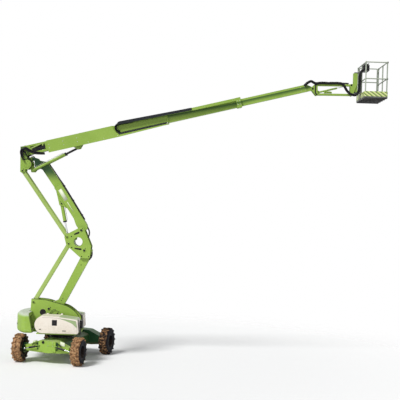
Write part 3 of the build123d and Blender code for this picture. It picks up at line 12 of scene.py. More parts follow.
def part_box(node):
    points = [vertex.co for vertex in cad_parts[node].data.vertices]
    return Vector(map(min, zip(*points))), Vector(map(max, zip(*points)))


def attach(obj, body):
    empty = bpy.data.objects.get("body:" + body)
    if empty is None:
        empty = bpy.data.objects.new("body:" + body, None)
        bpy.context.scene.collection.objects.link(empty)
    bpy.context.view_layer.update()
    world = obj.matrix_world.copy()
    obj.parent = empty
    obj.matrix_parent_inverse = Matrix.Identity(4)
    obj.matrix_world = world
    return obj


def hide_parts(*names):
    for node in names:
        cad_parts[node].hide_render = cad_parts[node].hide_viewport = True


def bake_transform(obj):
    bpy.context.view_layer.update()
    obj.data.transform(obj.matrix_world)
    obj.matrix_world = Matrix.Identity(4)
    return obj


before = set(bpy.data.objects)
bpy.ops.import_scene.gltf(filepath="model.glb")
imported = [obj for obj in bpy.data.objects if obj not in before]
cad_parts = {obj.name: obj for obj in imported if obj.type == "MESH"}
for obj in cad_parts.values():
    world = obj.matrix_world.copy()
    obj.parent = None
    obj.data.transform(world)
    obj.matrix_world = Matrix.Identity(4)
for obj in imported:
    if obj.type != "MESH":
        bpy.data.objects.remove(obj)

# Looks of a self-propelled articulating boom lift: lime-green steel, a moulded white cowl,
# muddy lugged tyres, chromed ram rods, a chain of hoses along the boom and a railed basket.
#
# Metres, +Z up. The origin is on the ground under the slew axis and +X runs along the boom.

LOG = logging.getLogger("boom_lift")

Colour = tuple[float, float, float]
Point = Sequence[float]
Outline = Sequence[tuple[float, float]]


def tint(red: int, green: int, blue: int) -> Colour:
    """Linear colour of a paint chip given in display levels of 0 to 255."""
    levels = (red / 255, green / 255, blue / 255)
    return tuple(v / 12.92 if v <= 0.04045 else ((v + 0.055) / 1.055) ** 2.4 for v in levels)


# ---------------------------------------------------------------- shader maths
class Wire:
    """Output of a shader node, with arithmetic that adds Math nodes."""

    def __init__(self, tree: "ShaderTree", socket: bpy.types.NodeSocket) -> None:
        """Keeps the tree the socket belongs to.

        Args:
            tree: Tree that further nodes are added to.
            socket: Output socket that this value comes from.
        """
        self.tree = tree
        self.socket = socket

    def _math(self, operation: str, first: "Value", second: "Value") -> "Wire":
        """Adds one Math node on two values."""
        return self.tree.node("ShaderNodeMath", {"operation": operation}, {0: first, 1: second})

    def __add__(self, other: "Value") -> "Wire":
        """Sum."""
        return self._math("ADD", self, other)

    def __radd__(self, other: "Value") -> "Wire":
        """Sum with a number first."""
        return self._math("ADD", other, self)

    def __sub__(self, other: "Value") -> "Wire":
        """Difference."""
        return self._math("SUBTRACT", self, other)

    def __rsub__(self, other: "Value") -> "Wire":
        """Difference with a number first."""
        return self._math("SUBTRACT", other, self)

    def __mul__(self, other: "Value") -> "Wire":
        """Product."""
        return self._math("MULTIPLY", self, other)

    def __rmul__(self, other: "Value") -> "Wire":
        """Product with a number first."""
        return self._math("MULTIPLY", other, self)

    def __truediv__(self, other: "Value") -> "Wire":
        """Quotient."""
        return self._math("DIVIDE", self, other)

    def __pow__(self, other: "Value") -> "Wire":
        """Power."""
        return self._math("POWER", self, other)

    def fold(self) -> "Wire":
        """Part after the point, for repeating patterns."""
        return self.tree.node("ShaderNodeMath", {"operation": "FRACT"}, {0: self})

    def size(self) -> "Wire":
        """Value without its sign."""
        return self.tree.node("ShaderNodeMath", {"operation": "ABSOLUTE"}, {0: self})

    def most(self, other: "Value") -> "Wire":
        """Larger of two values."""
        return self._math("MAXIMUM", self, other)

    def step(self, low: float, high: float) -> "Wire":
        """Smooth rise from 0 at low to 1 at high."""
        return self.tree.node(
            "ShaderNodeMapRange", {"interpolation_type": "SMOOTHSTEP"},
            {0: self, 1: low, 2: high, 3: 0.0, 4: 1.0},
        )


Value = Union[Wire, float]


class ShaderTree:
    """Node tree of one material, with every node made by one method."""

    def __init__(self, name: str) -> None:
        """Starts an empty material.

        Args:
            name: Name of the finish.
        """
        self.material = bpy.data.materials.new(name)
        self.material.use_nodes = True
        self.material.node_tree.nodes.clear()
        self.place = self.node("ShaderNodeTexCoord", out=3)
        self.facing = self.node("ShaderNodeTexCoord", out=1)

    def node(
        self,
        kind: str,
        settings: Optional[dict] = None,
        inputs: Optional[dict] = None,
        out: Union[int, str] = 0,
    ) -> Wire:
        """Adds one node.

        Args:
            kind: Blender's name of the node's type.
            settings: Properties set before the inputs.
            inputs: Values or wires by socket name or number.
            out: Output that the returned wire reads.

        Returns:
            Wire from the chosen output.
        """
        made = self.material.node_tree.nodes.new(kind)
        for key, value in (settings or {}).items():
            setattr(made, key, value)
        for key, value in (inputs or {}).items():
            socket = made.inputs[key]
            if isinstance(value, Wire):
                self.material.node_tree.links.new(value.socket, socket)
            elif socket.type == "RGBA" and len(value) == 3:
                socket.default_value = (*value, 1.0)
            else:
                socket.default_value = value
        return Wire(self, made.outputs[out])

    def stretch(self, x: float, y: float, z: float) -> Wire:
        """Object coordinates scaled along each axis."""
        return self.node("ShaderNodeMapping", {"vector_type": "POINT"}, {0: self.place, 3: (x, y, z)})

    def noise(
        self, scale: float, detail: float = 4.0, rough: float = 0.55, place: Optional[Wire] = None,
    ) -> Wire:
        """Cloudy value about 0.5.

        Args:
            scale: Cells per metre.
            detail: Octaves.
            rough: Share each octave keeps of the one before.
            place: Coordinates, or the object's own when left out.

        Returns:
            Value from 0 to 1.
        """
        return self.node(
            "ShaderNodeTexNoise", None,
            {"Vector": place or self.place, "Scale": scale, "Detail": detail, "Roughness": rough},
        )

    def axis(self, vector: Wire, index: int) -> Wire:
        """One component of a vector."""
        return self.node("ShaderNodeSeparateXYZ", None, {0: vector}, index)

    def mix(self, share: Value, first: Union[Wire, Colour], second: Union[Wire, Colour]) -> Wire:
        """Colour between two colours.

        Args:
            share: Share of the second colour.
            first: First colour.
            second: Second colour.

        Returns:
            The mixed colour.
        """
        return self.node("ShaderNodeMix", {"data_type": "RGBA"}, {0: share, 6: first, 7: second}, 2)

    def rounded(self, radius: float) -> Wire:
        """Normal with the solid's edges rounded by a radius in metres."""
        return self.node("ShaderNodeBevel", {"samples": 4}, {"Radius": radius})

    def edges(self, radius: float) -> Wire:
        """Mask that is 1 along sharp edges."""
        true = self.node("ShaderNodeNewGeometry", out="True Normal")
        soft = self.rounded(radius)
        dot = self.node("ShaderNodeVectorMath", {"operation": "DOT_PRODUCT"}, {0: true, 1: soft}, "Value")
        return (1.0 - dot).step(0.004, 0.06)

    def bump(self, height: Wire, depth: float, normal: Optional[Wire] = None) -> Wire:
        """Normal bent by a height in metres times depth."""
        inputs = {"Height": height, "Distance": depth, "Strength": 1.0}
        if normal is not None:
            inputs["Normal"] = normal
        return self.node("ShaderNodeBump", None, inputs)

    def finish(self, **inputs: Union[Wire, float, Colour]) -> bpy.types.Material:
        """Adds the shader and the output.

        Args:
            **inputs: Sockets of the shader, with _ for each space.

        Returns:
            The finished material.
        """
        named = {key.replace("_", " "): value for key, value in inputs.items()}
        shader = self.node("ShaderNodeBsdfPrincipled", None, named)
        self._output(shader)
        return self.material

    def _output(self, shader: Wire) -> None:
        """Joins a shader to the material's output."""
        output = self.material.node_tree.nodes.new("ShaderNodeOutputMaterial")
        self.material.node_tree.links.new(shader.socket, output.inputs[0])


# ---------------------------------------------------------------- finishes
@dataclass(frozen=True)
class PaintedShade:
    """Painted shade on the side faces of a beam: darkest at a level and fading below it, standing in for the
    shade that falls there.
    """

    origin: tuple[float, float]
    lean: float
    low: float
    high: float
    stop: float
    share: float
    colour: Colour
    back: Optional[float] = None

    def over(self, tree: ShaderTree, colour: Wire) -> Wire:
        """Colour with the painted shade over it."""
        x, z = (tree.axis(tree.place, index) for index in (0, 2))
        turn = radians(self.lean)
        rise = (z - self.origin[1]) * cos(turn) - (x - self.origin[0]) * sin(turn)
        side = tree.axis(tree.facing, 1).size().step(0.6, 0.9)
        if self.back is not None:
            side = tree.axis(tree.place, 1).step(self.back, self.back + 0.12)
        cover = rise.step(self.low, self.high) * (1.0 - rise.step(self.stop, self.stop + 0.012)) * side
        return tree.mix(cover * self.share, colour, self.colour)


@dataclass(frozen=True)
class MachinePaint:
    """Sprayed machine paint: lighter on upward faces as painted top light, patchily faded, dusty on top,
    streaked, chipped along its edges.
    """

    name: str
    colour: Colour
    faded_and_top_light: Colour
    deep: Colour
    dust: float = 0.3
    mud: float = 0.0
    mud_top: float = 0.9
    rough: float = 0.38
    edge: float = 0.005
    wear: float = 0.55
    grain: float = 0.0
    painted_top_light: float = 0.55
    film_and_painted_shade: Optional[PaintedShade] = None

    def make(self) -> bpy.types.Material:
        """Material of this paint."""
        tree = ShaderTree(self.name)
        cloud = tree.noise(0.8, 4.0)
        fine = tree.noise(11.0, 6.0, 0.62)
        streak = tree.noise(1.0, 5.0, 0.6, tree.stretch(13.0, 13.0, 0.7))
        up = tree.axis(tree.facing, 2)
        height = tree.axis(tree.place, 2)
        colour = tree.mix(cloud.step(0.3, 0.7), self.deep, self.colour)
        # Painted top light: upward faces move towards the lighter tone; the fine noise adds real patchy fade.
        colour = tree.mix(
            up.step(0.1, 0.9) * self.painted_top_light + (fine.step(0.45, 0.75) * 0.18), colour, self.faded_and_top_light,
        )
        colour = tree.mix(streak.step(0.56, 0.8) * (1.0 - up.size().step(0.3, 0.8)) * 0.22, colour, self.deep)
        # Painted shade band, when the finish has one.
        if self.film_and_painted_shade:
            colour = self.film_and_painted_shade.over(tree, colour)
        settle = fine.step(0.4, 0.66) * up.step(0.35, 0.9) * self.dust
        colour = tree.mix(settle, colour, DUST)
        edge = tree.edges(self.edge * 1.5)
        chip = edge * tree.noise(26.0, 6.0, 0.7).step(0.52, 0.6) * self.wear
        colour = tree.mix(chip, colour, PRIMER)
        rough = self.rough + fine * 0.16 + settle * 0.4 + chip * 0.2
        bumps = fine * 0.15 + tree.noise(220.0, 2.0) * 0.05 + cloud * 0.6
        if self.grain:
            bumps = bumps + tree.noise(46.0, 5.0, 0.7) * self.grain
        if self.mud:
            low = 1.0 - height.step(self.mud_top * 0.35, self.mud_top)
            splash = (low * tree.noise(7.0, 8.0, 0.72) * 1.9).step(0.42, 0.72) * self.mud
            colour = tree.mix(splash, colour, tree.mix(fine.step(0.3, 0.7), MUD_WET, MUD))
            rough = rough + splash * 0.4
            bumps = bumps + splash * 0.8
        normal = tree.bump(bumps, 0.0025, tree.rounded(self.edge))
        return tree.finish(Base_Color=colour, Roughness=rough, Normal=normal, Specular_IOR_Level=0.22)


@dataclass(frozen=True)
class MouldedShell:
    """Moulded plastic shell: slightly orange-peeled, scuffed and dusty towards its lower edge."""

    name: str
    colour: Colour
    shade: Colour
    low: float = 0.95
    high: float = 1.45
    rough: float = 0.33

    def make(self) -> bpy.types.Material:
        """Material of this shell."""
        tree = ShaderTree(self.name)
        cloud = tree.noise(1.6, 4.0)
        fine = tree.noise(19.0, 6.0, 0.65)
        height = tree.axis(tree.place, 2)
        up = tree.axis(tree.facing, 2)
        streak = tree.noise(1.0, 5.0, 0.62, tree.stretch(20.0, 20.0, 1.1))
        grime = (1.0 - height.step(self.low, self.high)) * fine.step(0.38, 0.7)
        colour = tree.mix(cloud.step(0.3, 0.7) * 0.5, self.colour, self.shade)
        colour = tree.mix(grime * 0.45, colour, DUST)
        colour = tree.mix(streak.step(0.58, 0.8) * 0.25, colour, DUST)
        colour = tree.mix(up.step(0.5, 0.95) * fine.step(0.4, 0.7) * 0.35, colour, DUST)
        scratch = tree.noise(1.0, 3.0, 0.5, tree.stretch(2.0, 2.0, 95.0)).step(0.7, 0.74)
        colour = tree.mix(scratch * 0.16, colour, PRIMER)
        normal = tree.bump(
            tree.noise(120.0, 2.0) * 0.1 + cloud * 0.8 + scratch * 0.1, 0.002, tree.rounded(0.012),
        )
        return tree.finish(Base_Color=colour, Roughness=self.rough + fine * 0.2 + grime * 0.2, Normal=normal)


@dataclass(frozen=True)
class BareMetal:
    """Metal with no paint: chromed, galvanised or blued, with smeared oil and rubbed edges."""

    name: str
    colour: Colour
    film_and_painted_shade: Colour
    rough: float
    metal: float = 1.0
    edge: float = 0.002

    def make(self) -> bpy.types.Material:
        """Material of this metal."""
        tree = ShaderTree(self.name)
        fine = tree.noise(23.0, 5.0, 0.6)
        smear = tree.noise(5.0, 4.0, 0.6).step(0.48, 0.72)
        colour = tree.mix(smear * 0.5, self.colour, self.film_and_painted_shade)
        rough = self.rough + fine * 0.14 + smear * 0.14
        normal = tree.bump(fine * 0.2 + tree.noise(180.0, 2.0) * 0.06, 0.001, tree.rounded(self.edge))
        return tree.finish(
            Base_Color=colour, Roughness=rough, Metallic=self.metal - smear * 0.25, Normal=normal,
        )


@dataclass(frozen=True)
class DarkPolymer:
    """Rubber or plastic that is black or grey all through, greyed by dust."""

    name: str
    colour: Colour
    rough: float = 0.62
    dust: float = 0.25
    grain: float = 90.0

    def make(self) -> bpy.types.Material:
        """Material of this polymer."""
        tree = ShaderTree(self.name)
        fine = tree.noise(17.0, 6.0, 0.65)
        up = tree.axis(tree.facing, 2)
        settle = (up.step(-0.2, 0.9) * 0.7 + 0.3) * fine.step(0.42, 0.72) * self.dust
        colour = tree.mix(settle, self.colour, DUST)
        bumps = tree.noise(self.grain, 3.0) * 0.25 + fine * 0.4
        normal = tree.bump(bumps, 0.0015, tree.rounded(0.002))
        rough = self.rough + settle * 0.5 - fine * 0.1
        return tree.finish(Base_Color=colour, Roughness=rough, Normal=normal, Specular_IOR_Level=0.14)


@dataclass(frozen=True)
class MuddyRubber:
    """Tyre rubber, caked where the mesh's mud layer says so."""

    name: str
    colour: Colour

    def make(self) -> bpy.types.Material:
        """Material of the tyres."""
        tree = ShaderTree(self.name)
        layer = tree.node("ShaderNodeAttribute", {"attribute_name": "mud"}, out="Fac")
        lump = tree.noise(13.0, 8.0, 0.72)
        fine = tree.noise(34.0, 6.0, 0.7)
        caked = (layer * 1.15 + (lump - 0.5) * 2.0).step(0.36, 0.62)
        film_and_painted_shade = (layer * 0.6 + (fine - 0.5) * 0.9).step(0.15, 0.8) * 0.22
        soil = tree.mix(lump.step(0.44, 0.58), MUD_WET, MUD)
        soil = tree.mix(fine.step(0.5, 0.6) * 0.8, soil, MUD_DRY)
        colour = tree.mix(film_and_painted_shade, self.colour, MUD)
        colour = tree.mix(caked, colour, soil)
        rough = 0.62 + caked * 0.28
        normal = tree.bump(caked * 1.2 + lump * 0.7 + fine * 0.25, 0.005)
        return tree.finish(Base_Color=colour, Roughness=rough, Normal=normal, Specular_IOR_Level=0.08)


@dataclass(frozen=True)
class HazardStripes:
    """Board with slanted stripes that run on round its corners."""

    name: str
    first: Colour
    second: Colour
    third: Colour
    pitch: float = 0.15
    lean: float = 1.4

    def make(self) -> bpy.types.Material:
        """Material of the boards."""
        tree = ShaderTree(self.name)
        fine = tree.noise(24.0, 6.0, 0.65)
        x, y, z = (tree.axis(tree.place, index) for index in range(3))
        across = ((x - y + z * self.lean + 40.0) / self.pitch).fold()
        colour = tree.mix(across.step(0.41, 0.43), self.first, self.second)
        colour = tree.mix(across.step(0.63, 0.65), colour, self.third)
        colour = tree.mix(across.step(0.97, 0.99), colour, self.first)
        worn = fine.step(0.5, 0.66) * 0.45
        colour = tree.mix(worn, colour, DUST)
        normal = tree.bump(fine * 0.3 + across.step(0.46, 0.475) * 0.1, 0.001, tree.rounded(0.003))
        return tree.finish(Base_Color=colour, Roughness=0.45 + worn * 0.5, Normal=normal)


@dataclass(frozen=True)
class DeckPlate:
    """Floor sheet pressed with crossing bars, worn bright on the bars, with painted shade on its underside.
    """

    name: str
    colour: Colour
    bar: Colour
    under: Colour
    pitch: float = 0.045

    def make(self) -> bpy.types.Material:
        """Material of the deck."""
        tree = ShaderTree(self.name)
        fine = tree.noise(13.0, 6.0, 0.65)
        x, y = (tree.axis(tree.place, index) for index in range(2))
        one = (((x + y + 40.0) / self.pitch).fold() - 0.5).size().step(0.34, 0.46)
        two = (((x - y + 40.0) / self.pitch).fold() - 0.5).size().step(0.34, 0.46)
        raised = one.most(two) * tree.axis(tree.facing, 2).step(0.5, 0.9)
        colour = tree.mix(raised * 0.7, self.colour, self.bar)
        dirt = fine.step(0.42, 0.7) * 0.5
        colour = tree.mix(dirt, colour, MUD_WET)
        # Painted shade: downward faces turn almost black.
        colour = tree.mix((tree.axis(tree.facing, 2) * -1.0).step(0.3, 0.8) * 0.9, colour, self.under)
        normal = tree.bump(raised + fine * 0.2, 0.002, tree.rounded(0.004))
        return tree.finish(
            Base_Color=colour, Roughness=0.5 + dirt * 0.35, Metallic=0.55 - dirt * 0.5, Normal=normal,
        )


@dataclass(frozen=True)
class LampLens:
    """Coloured lens of a lamp or beacon, ribbed inside."""

    name: str
    colour: Colour

    def make(self) -> bpy.types.Material:
        """Material of the lens."""
        tree = ShaderTree(self.name)
        fine = tree.noise(30.0, 4.0)
        ribs = ((tree.axis(tree.place, 2) * 110.0).fold() - 0.5).size()
        colour = tree.mix(fine.step(0.4, 0.7) * 0.3, self.colour, DUST)
        normal = tree.bump(ribs * 0.5 + fine * 0.1, 0.001)
        return tree.finish(
            Base_Color=colour, Roughness=0.12 + fine * 0.15, Normal=normal, Coat_Weight=0.6 + fine * 0.2,
        )


DUST = tint(176, 168, 146)
PRIMER = tint(86, 84, 80)
MUD = tint(158, 116, 82)
MUD_WET = tint(84, 58, 42)
MUD_DRY = tint(212, 176, 130)
FRESH_LIME = tint(150, 180, 78)
DEEP_LIME = tint(136, 168, 66)
# The middle colour is the lighter tone of upward faces, painted top light.
LIME_COAT = (FRESH_LIME, tint(170, 197, 114), DEEP_LIME)
BOOM_SHADE_GREEN = tint(42, 80, 30)
SHADE_GREEN = tint(26, 66, 38)
BOOM_PIVOT = (-1.34, 6.59)
BOOM_LEAN = 14.4
CHANNEL_FOOT = (1.572, 7.56)
CHANNEL_LEAN = 12.49


class Finish(Enum):
    """Named finishes of the machine's parts."""

    LIME = MachinePaint("lime_paint", *LIME_COAT)
    TIE = MachinePaint("tie_paint", tint(164, 188, 104), tint(186, 202, 140), tint(150, 176, 86))
    # Painted shade: riser_paint turns dark green towards the top of the upper riser, standing in for the
    # shade under the boom and knuckle.
    RISER = MachinePaint(
        "riser_paint", *LIME_COAT, film_and_painted_shade=PaintedShade((0.0, 5.62), 0.0, 0.0, 0.42, 9.0, 0.92, SHADE_GREEN)
    )
    # Painted shade: mid_boom_paint darkens the side face under the hose channel, standing in for the
    # channel's shadow.
    MID_BOOM = MachinePaint(
        "mid_boom_paint", *LIME_COAT,
        film_and_painted_shade=PaintedShade(CHANNEL_FOOT, CHANNEL_LEAN, -0.14, -0.004, 0.0, 0.9, BOOM_SHADE_GREEN)
    )
    # Painted shadow: tip_boom_paint carries a dark line along its side face below a lighter top, standing in
    # for the shadow under its top strip.
    TIP_BOOM = MachinePaint(
        "tip_boom_paint", FRESH_LIME, tint(176, 204, 136), DEEP_LIME,
        film_and_painted_shade=PaintedShade(BOOM_PIVOT, BOOM_LEAN, -0.035, 0.098, 0.104, 0.92, BOOM_SHADE_GREEN),
    )
    # Painted shade: head_paint darkens the top knuckle's side faces upward from 6.3 m, standing in for the
    # shade round the boom's foot.
    HEAD = MachinePaint(
        "head_paint", *LIME_COAT, film_and_painted_shade=PaintedShade((-1.0, 6.3), 0.0, 0.0, 0.34, 9.0, 0.75, SHADE_GREEN)
    )
    BAND = MachinePaint("shoulder_paint", tint(158, 180, 126), tint(176, 190, 152), tint(146, 166, 120))
    # Painted shade: chassis_paint turns dark green behind the front box's face and off to +X, standing in for
    # shade under the turntable.
    CHASSIS = MachinePaint(
        "chassis_paint", *LIME_COAT, dust=0.5, mud=0.3, mud_top=0.55,
        film_and_painted_shade=PaintedShade((0.02, 0.0), -90.0, 0.0, 0.22, 9.0, 0.92, tint(36, 80, 48), back=-0.92),
    )
    # Painted shade: a shaded copy of the lime paint, for parts that sit in shade such as the rear axle and
    # steering knuckles.
    SHADED_LIME = MachinePaint(
        "dark_green_paint", tint(38, 84, 48), tint(66, 110, 68), tint(28, 64, 38), dust=0.3, mud=0.35,
        mud_top=0.6
    )
    # Painted reflection: the pale grey top tone and heavy dust on the counterweight's top stand in for sky
    # reflected there, with some real dust.
    CAST_GREEN = MachinePaint(
        "cast_green", FRESH_LIME, tint(190, 202, 186), DEEP_LIME, dust=0.5, rough=0.5, edge=0.02, wear=0.3,
        grain=0.9, painted_top_light=0.95
    )
    COWL = MouldedShell("white_cowl", tint(231, 223, 211), tint(222, 208, 190))
    BLACK_STEEL = MachinePaint(
        "black_steel", tint(30, 30, 32), tint(56, 56, 56), tint(22, 22, 24), dust=0.25, mud=0.3, mud_top=0.6,
        rough=0.42
    )
    RIM = MachinePaint(
        "dark_rim", tint(26, 25, 32), tint(44, 42, 46), tint(20, 19, 24), dust=0.2, mud=0.08, mud_top=0.8,
        rough=0.5
    )
    CHROME = BareMetal("chromed_steel", tint(206, 208, 212), tint(138, 138, 140), 0.1)
    ZINC = BareMetal("zinc_plated", tint(176, 176, 172), tint(120, 116, 108), 0.32)
    RAIL = MachinePaint(
        "rail_grey", tint(184, 192, 176), tint(206, 210, 196), tint(140, 150, 134), dust=0.3, wear=0.8,
        rough=0.34
    )
    BLOCK = MachinePaint(
        "machine_grey", tint(96, 98, 100), tint(126, 126, 122), tint(70, 72, 76), dust=0.6, rough=0.55,
        grain=0.6
    )
    TANK = DarkPolymer("tank_plastic", tint(62, 64, 66), 0.5, 0.4)
    CONTROL = DarkPolymer("control_black", tint(23, 23, 26), 0.5, 0.12)
    HOSE = DarkPolymer("hose_rubber", tint(19, 20, 25), 0.5, 0.1)
    CHAIN = DarkPolymer("chain_plastic", tint(26, 31, 36), 0.55, 0.15, 60.0)
    TYRE = MuddyRubber("tyre_rubber", tint(20, 19, 25))
    HAZARD = HazardStripes("hazard_board", tint(224, 232, 158), tint(34, 34, 30), tint(150, 184, 76))
    # Painted shade: the last colour is the near-black of the deck's underside.
    DECK = DeckPlate("deck_plate", tint(92, 96, 94), tint(150, 152, 148), tint(20, 20, 18))
    PLATE = MouldedShell("blank_plate", tint(226, 232, 206), tint(214, 222, 186), low=-2.0, high=-1.0)
    SIGNAL_RED = LampLens("signal_red", tint(196, 34, 30))


class FinishShop:
    """Makes each finish once and hands it out."""

    def __init__(self) -> None:
        """Starts with no material made."""
        self.made: dict[Finish, bpy.types.Material] = {}

    def get(self, finish: Finish) -> bpy.types.Material:
        """Material of a finish."""
        if finish not in self.made:
            self.made[finish] = finish.value.make()
        return self.made[finish]


SHOP = FinishShop()


# ---------------------------------------------------------------- mesh building
@dataclass(frozen=True)
class Axes:
    """Right-handed axes that a sub-assembly is drawn in."""

    origin: Vector
    along: Vector
    side: Vector
    up: Vector

    def at(self, a: float, b: float, c: float) -> Vector:
        """Point a along, b to the side and c up."""
        return self.origin + self.way(a, b, c)

    def way(self, a: float, b: float, c: float) -> Vector:
        """Direction with those components."""
        return self.along * a + self.side * b + self.up * c


def line_axes(foot: tuple[float, float], head: tuple[float, float], y: float = 0.0) -> Axes:
    """Axes whose along runs from one side-view point to another.

    Args:
        foot: X and Z of the start.
        head: X and Z of the end.
        y: Place across the machine.

    Returns:
        Axes with side along +Y.
    """
    turn = atan2(head[1] - foot[1], head[0] - foot[0])
    return Axes(
        Vector((foot[0], y, foot[1])), Vector((cos(turn), 0, sin(turn))), Vector((0, 1, 0)),
        Vector((-sin(turn), 0, cos(turn))),
    )


def heading_axes(degrees: float) -> Axes:
    """Level axes on the ground whose along points at a heading."""
    turn = radians(degrees)
    return Axes(
        Vector(), Vector((cos(turn), sin(turn), 0)), Vector((-sin(turn), cos(turn), 0)), Vector((0, 0, 1)),
    )


MACHINE = heading_axes(0.0)
CHASSIS = heading_axes(-105.4)
BOOM = line_axes(
    BOOM_PIVOT, (BOOM_PIVOT[0] + cos(radians(BOOM_LEAN)), BOOM_PIVOT[1] + sin(radians(BOOM_LEAN))),
)
SHARP_EDGE = 38.0
RISER_FOOT = (-0.425, 1.617)
PLATE_OUT = 0.21
PIN_OUT = 0.222


def smooth_line(points: Sequence[Vector], steps: int = 6) -> list[Vector]:
    """Smooth line through points.

    Args:
        points: Points that the line passes.
        steps: Pieces between two points.

    Returns:
        Points close together along the line.
    """
    ends = [points[0] * 2 - points[1], *points, points[-1] * 2 - points[-2]]
    line = []
    for a, b, c, d in zip(ends, ends[1:], ends[2:], ends[3:]):
        for step in range(steps):
            t = step / steps
            line.append(
                0.5 * (
                    (2 * b) + (c - a) * t + (
                        2 * a - 5 * b + 4 * c - d
                    ) * t**2 + (3 * b - a - 3 * c + d) * t**3
                )
            )
    return [*line, points[-1]]


def arc_line(middle: tuple[float, float], radius: float, y: float, angles: Sequence[float]) -> list[Point]:
    """Points of an arc in a side plane.

    Args:
        middle: X and Z of its middle.
        radius: Its radius.
        y: Place across the machine.
        angles: Angle of each point in degrees.

    Returns:
        Points in order of the angles.
    """
    return [(middle[0] + cos(radians(t)) * radius, y, middle[1] + sin(radians(t)) * radius) for t in angles]


class Plane(Enum):
    """Plane that a plate is drawn in, as the axes of its two coordinates and of its thickness."""

    SIDE = (0, 2, 1)
    FLAT = (0, 1, 2)
    CROSS = (1, 2, 0)

    def point(self, first: float, second: float, depth: float) -> Point:
        """Place along, to the side and up of a corner.

        Args:
            first: First coordinate in the plane.
            second: Second coordinate in the plane.
            depth: Place through the plate's thickness.

        Returns:
            The three coordinates in order.
        """
        return tuple(value for _, value in sorted(zip(self.value, (first, second, depth))))


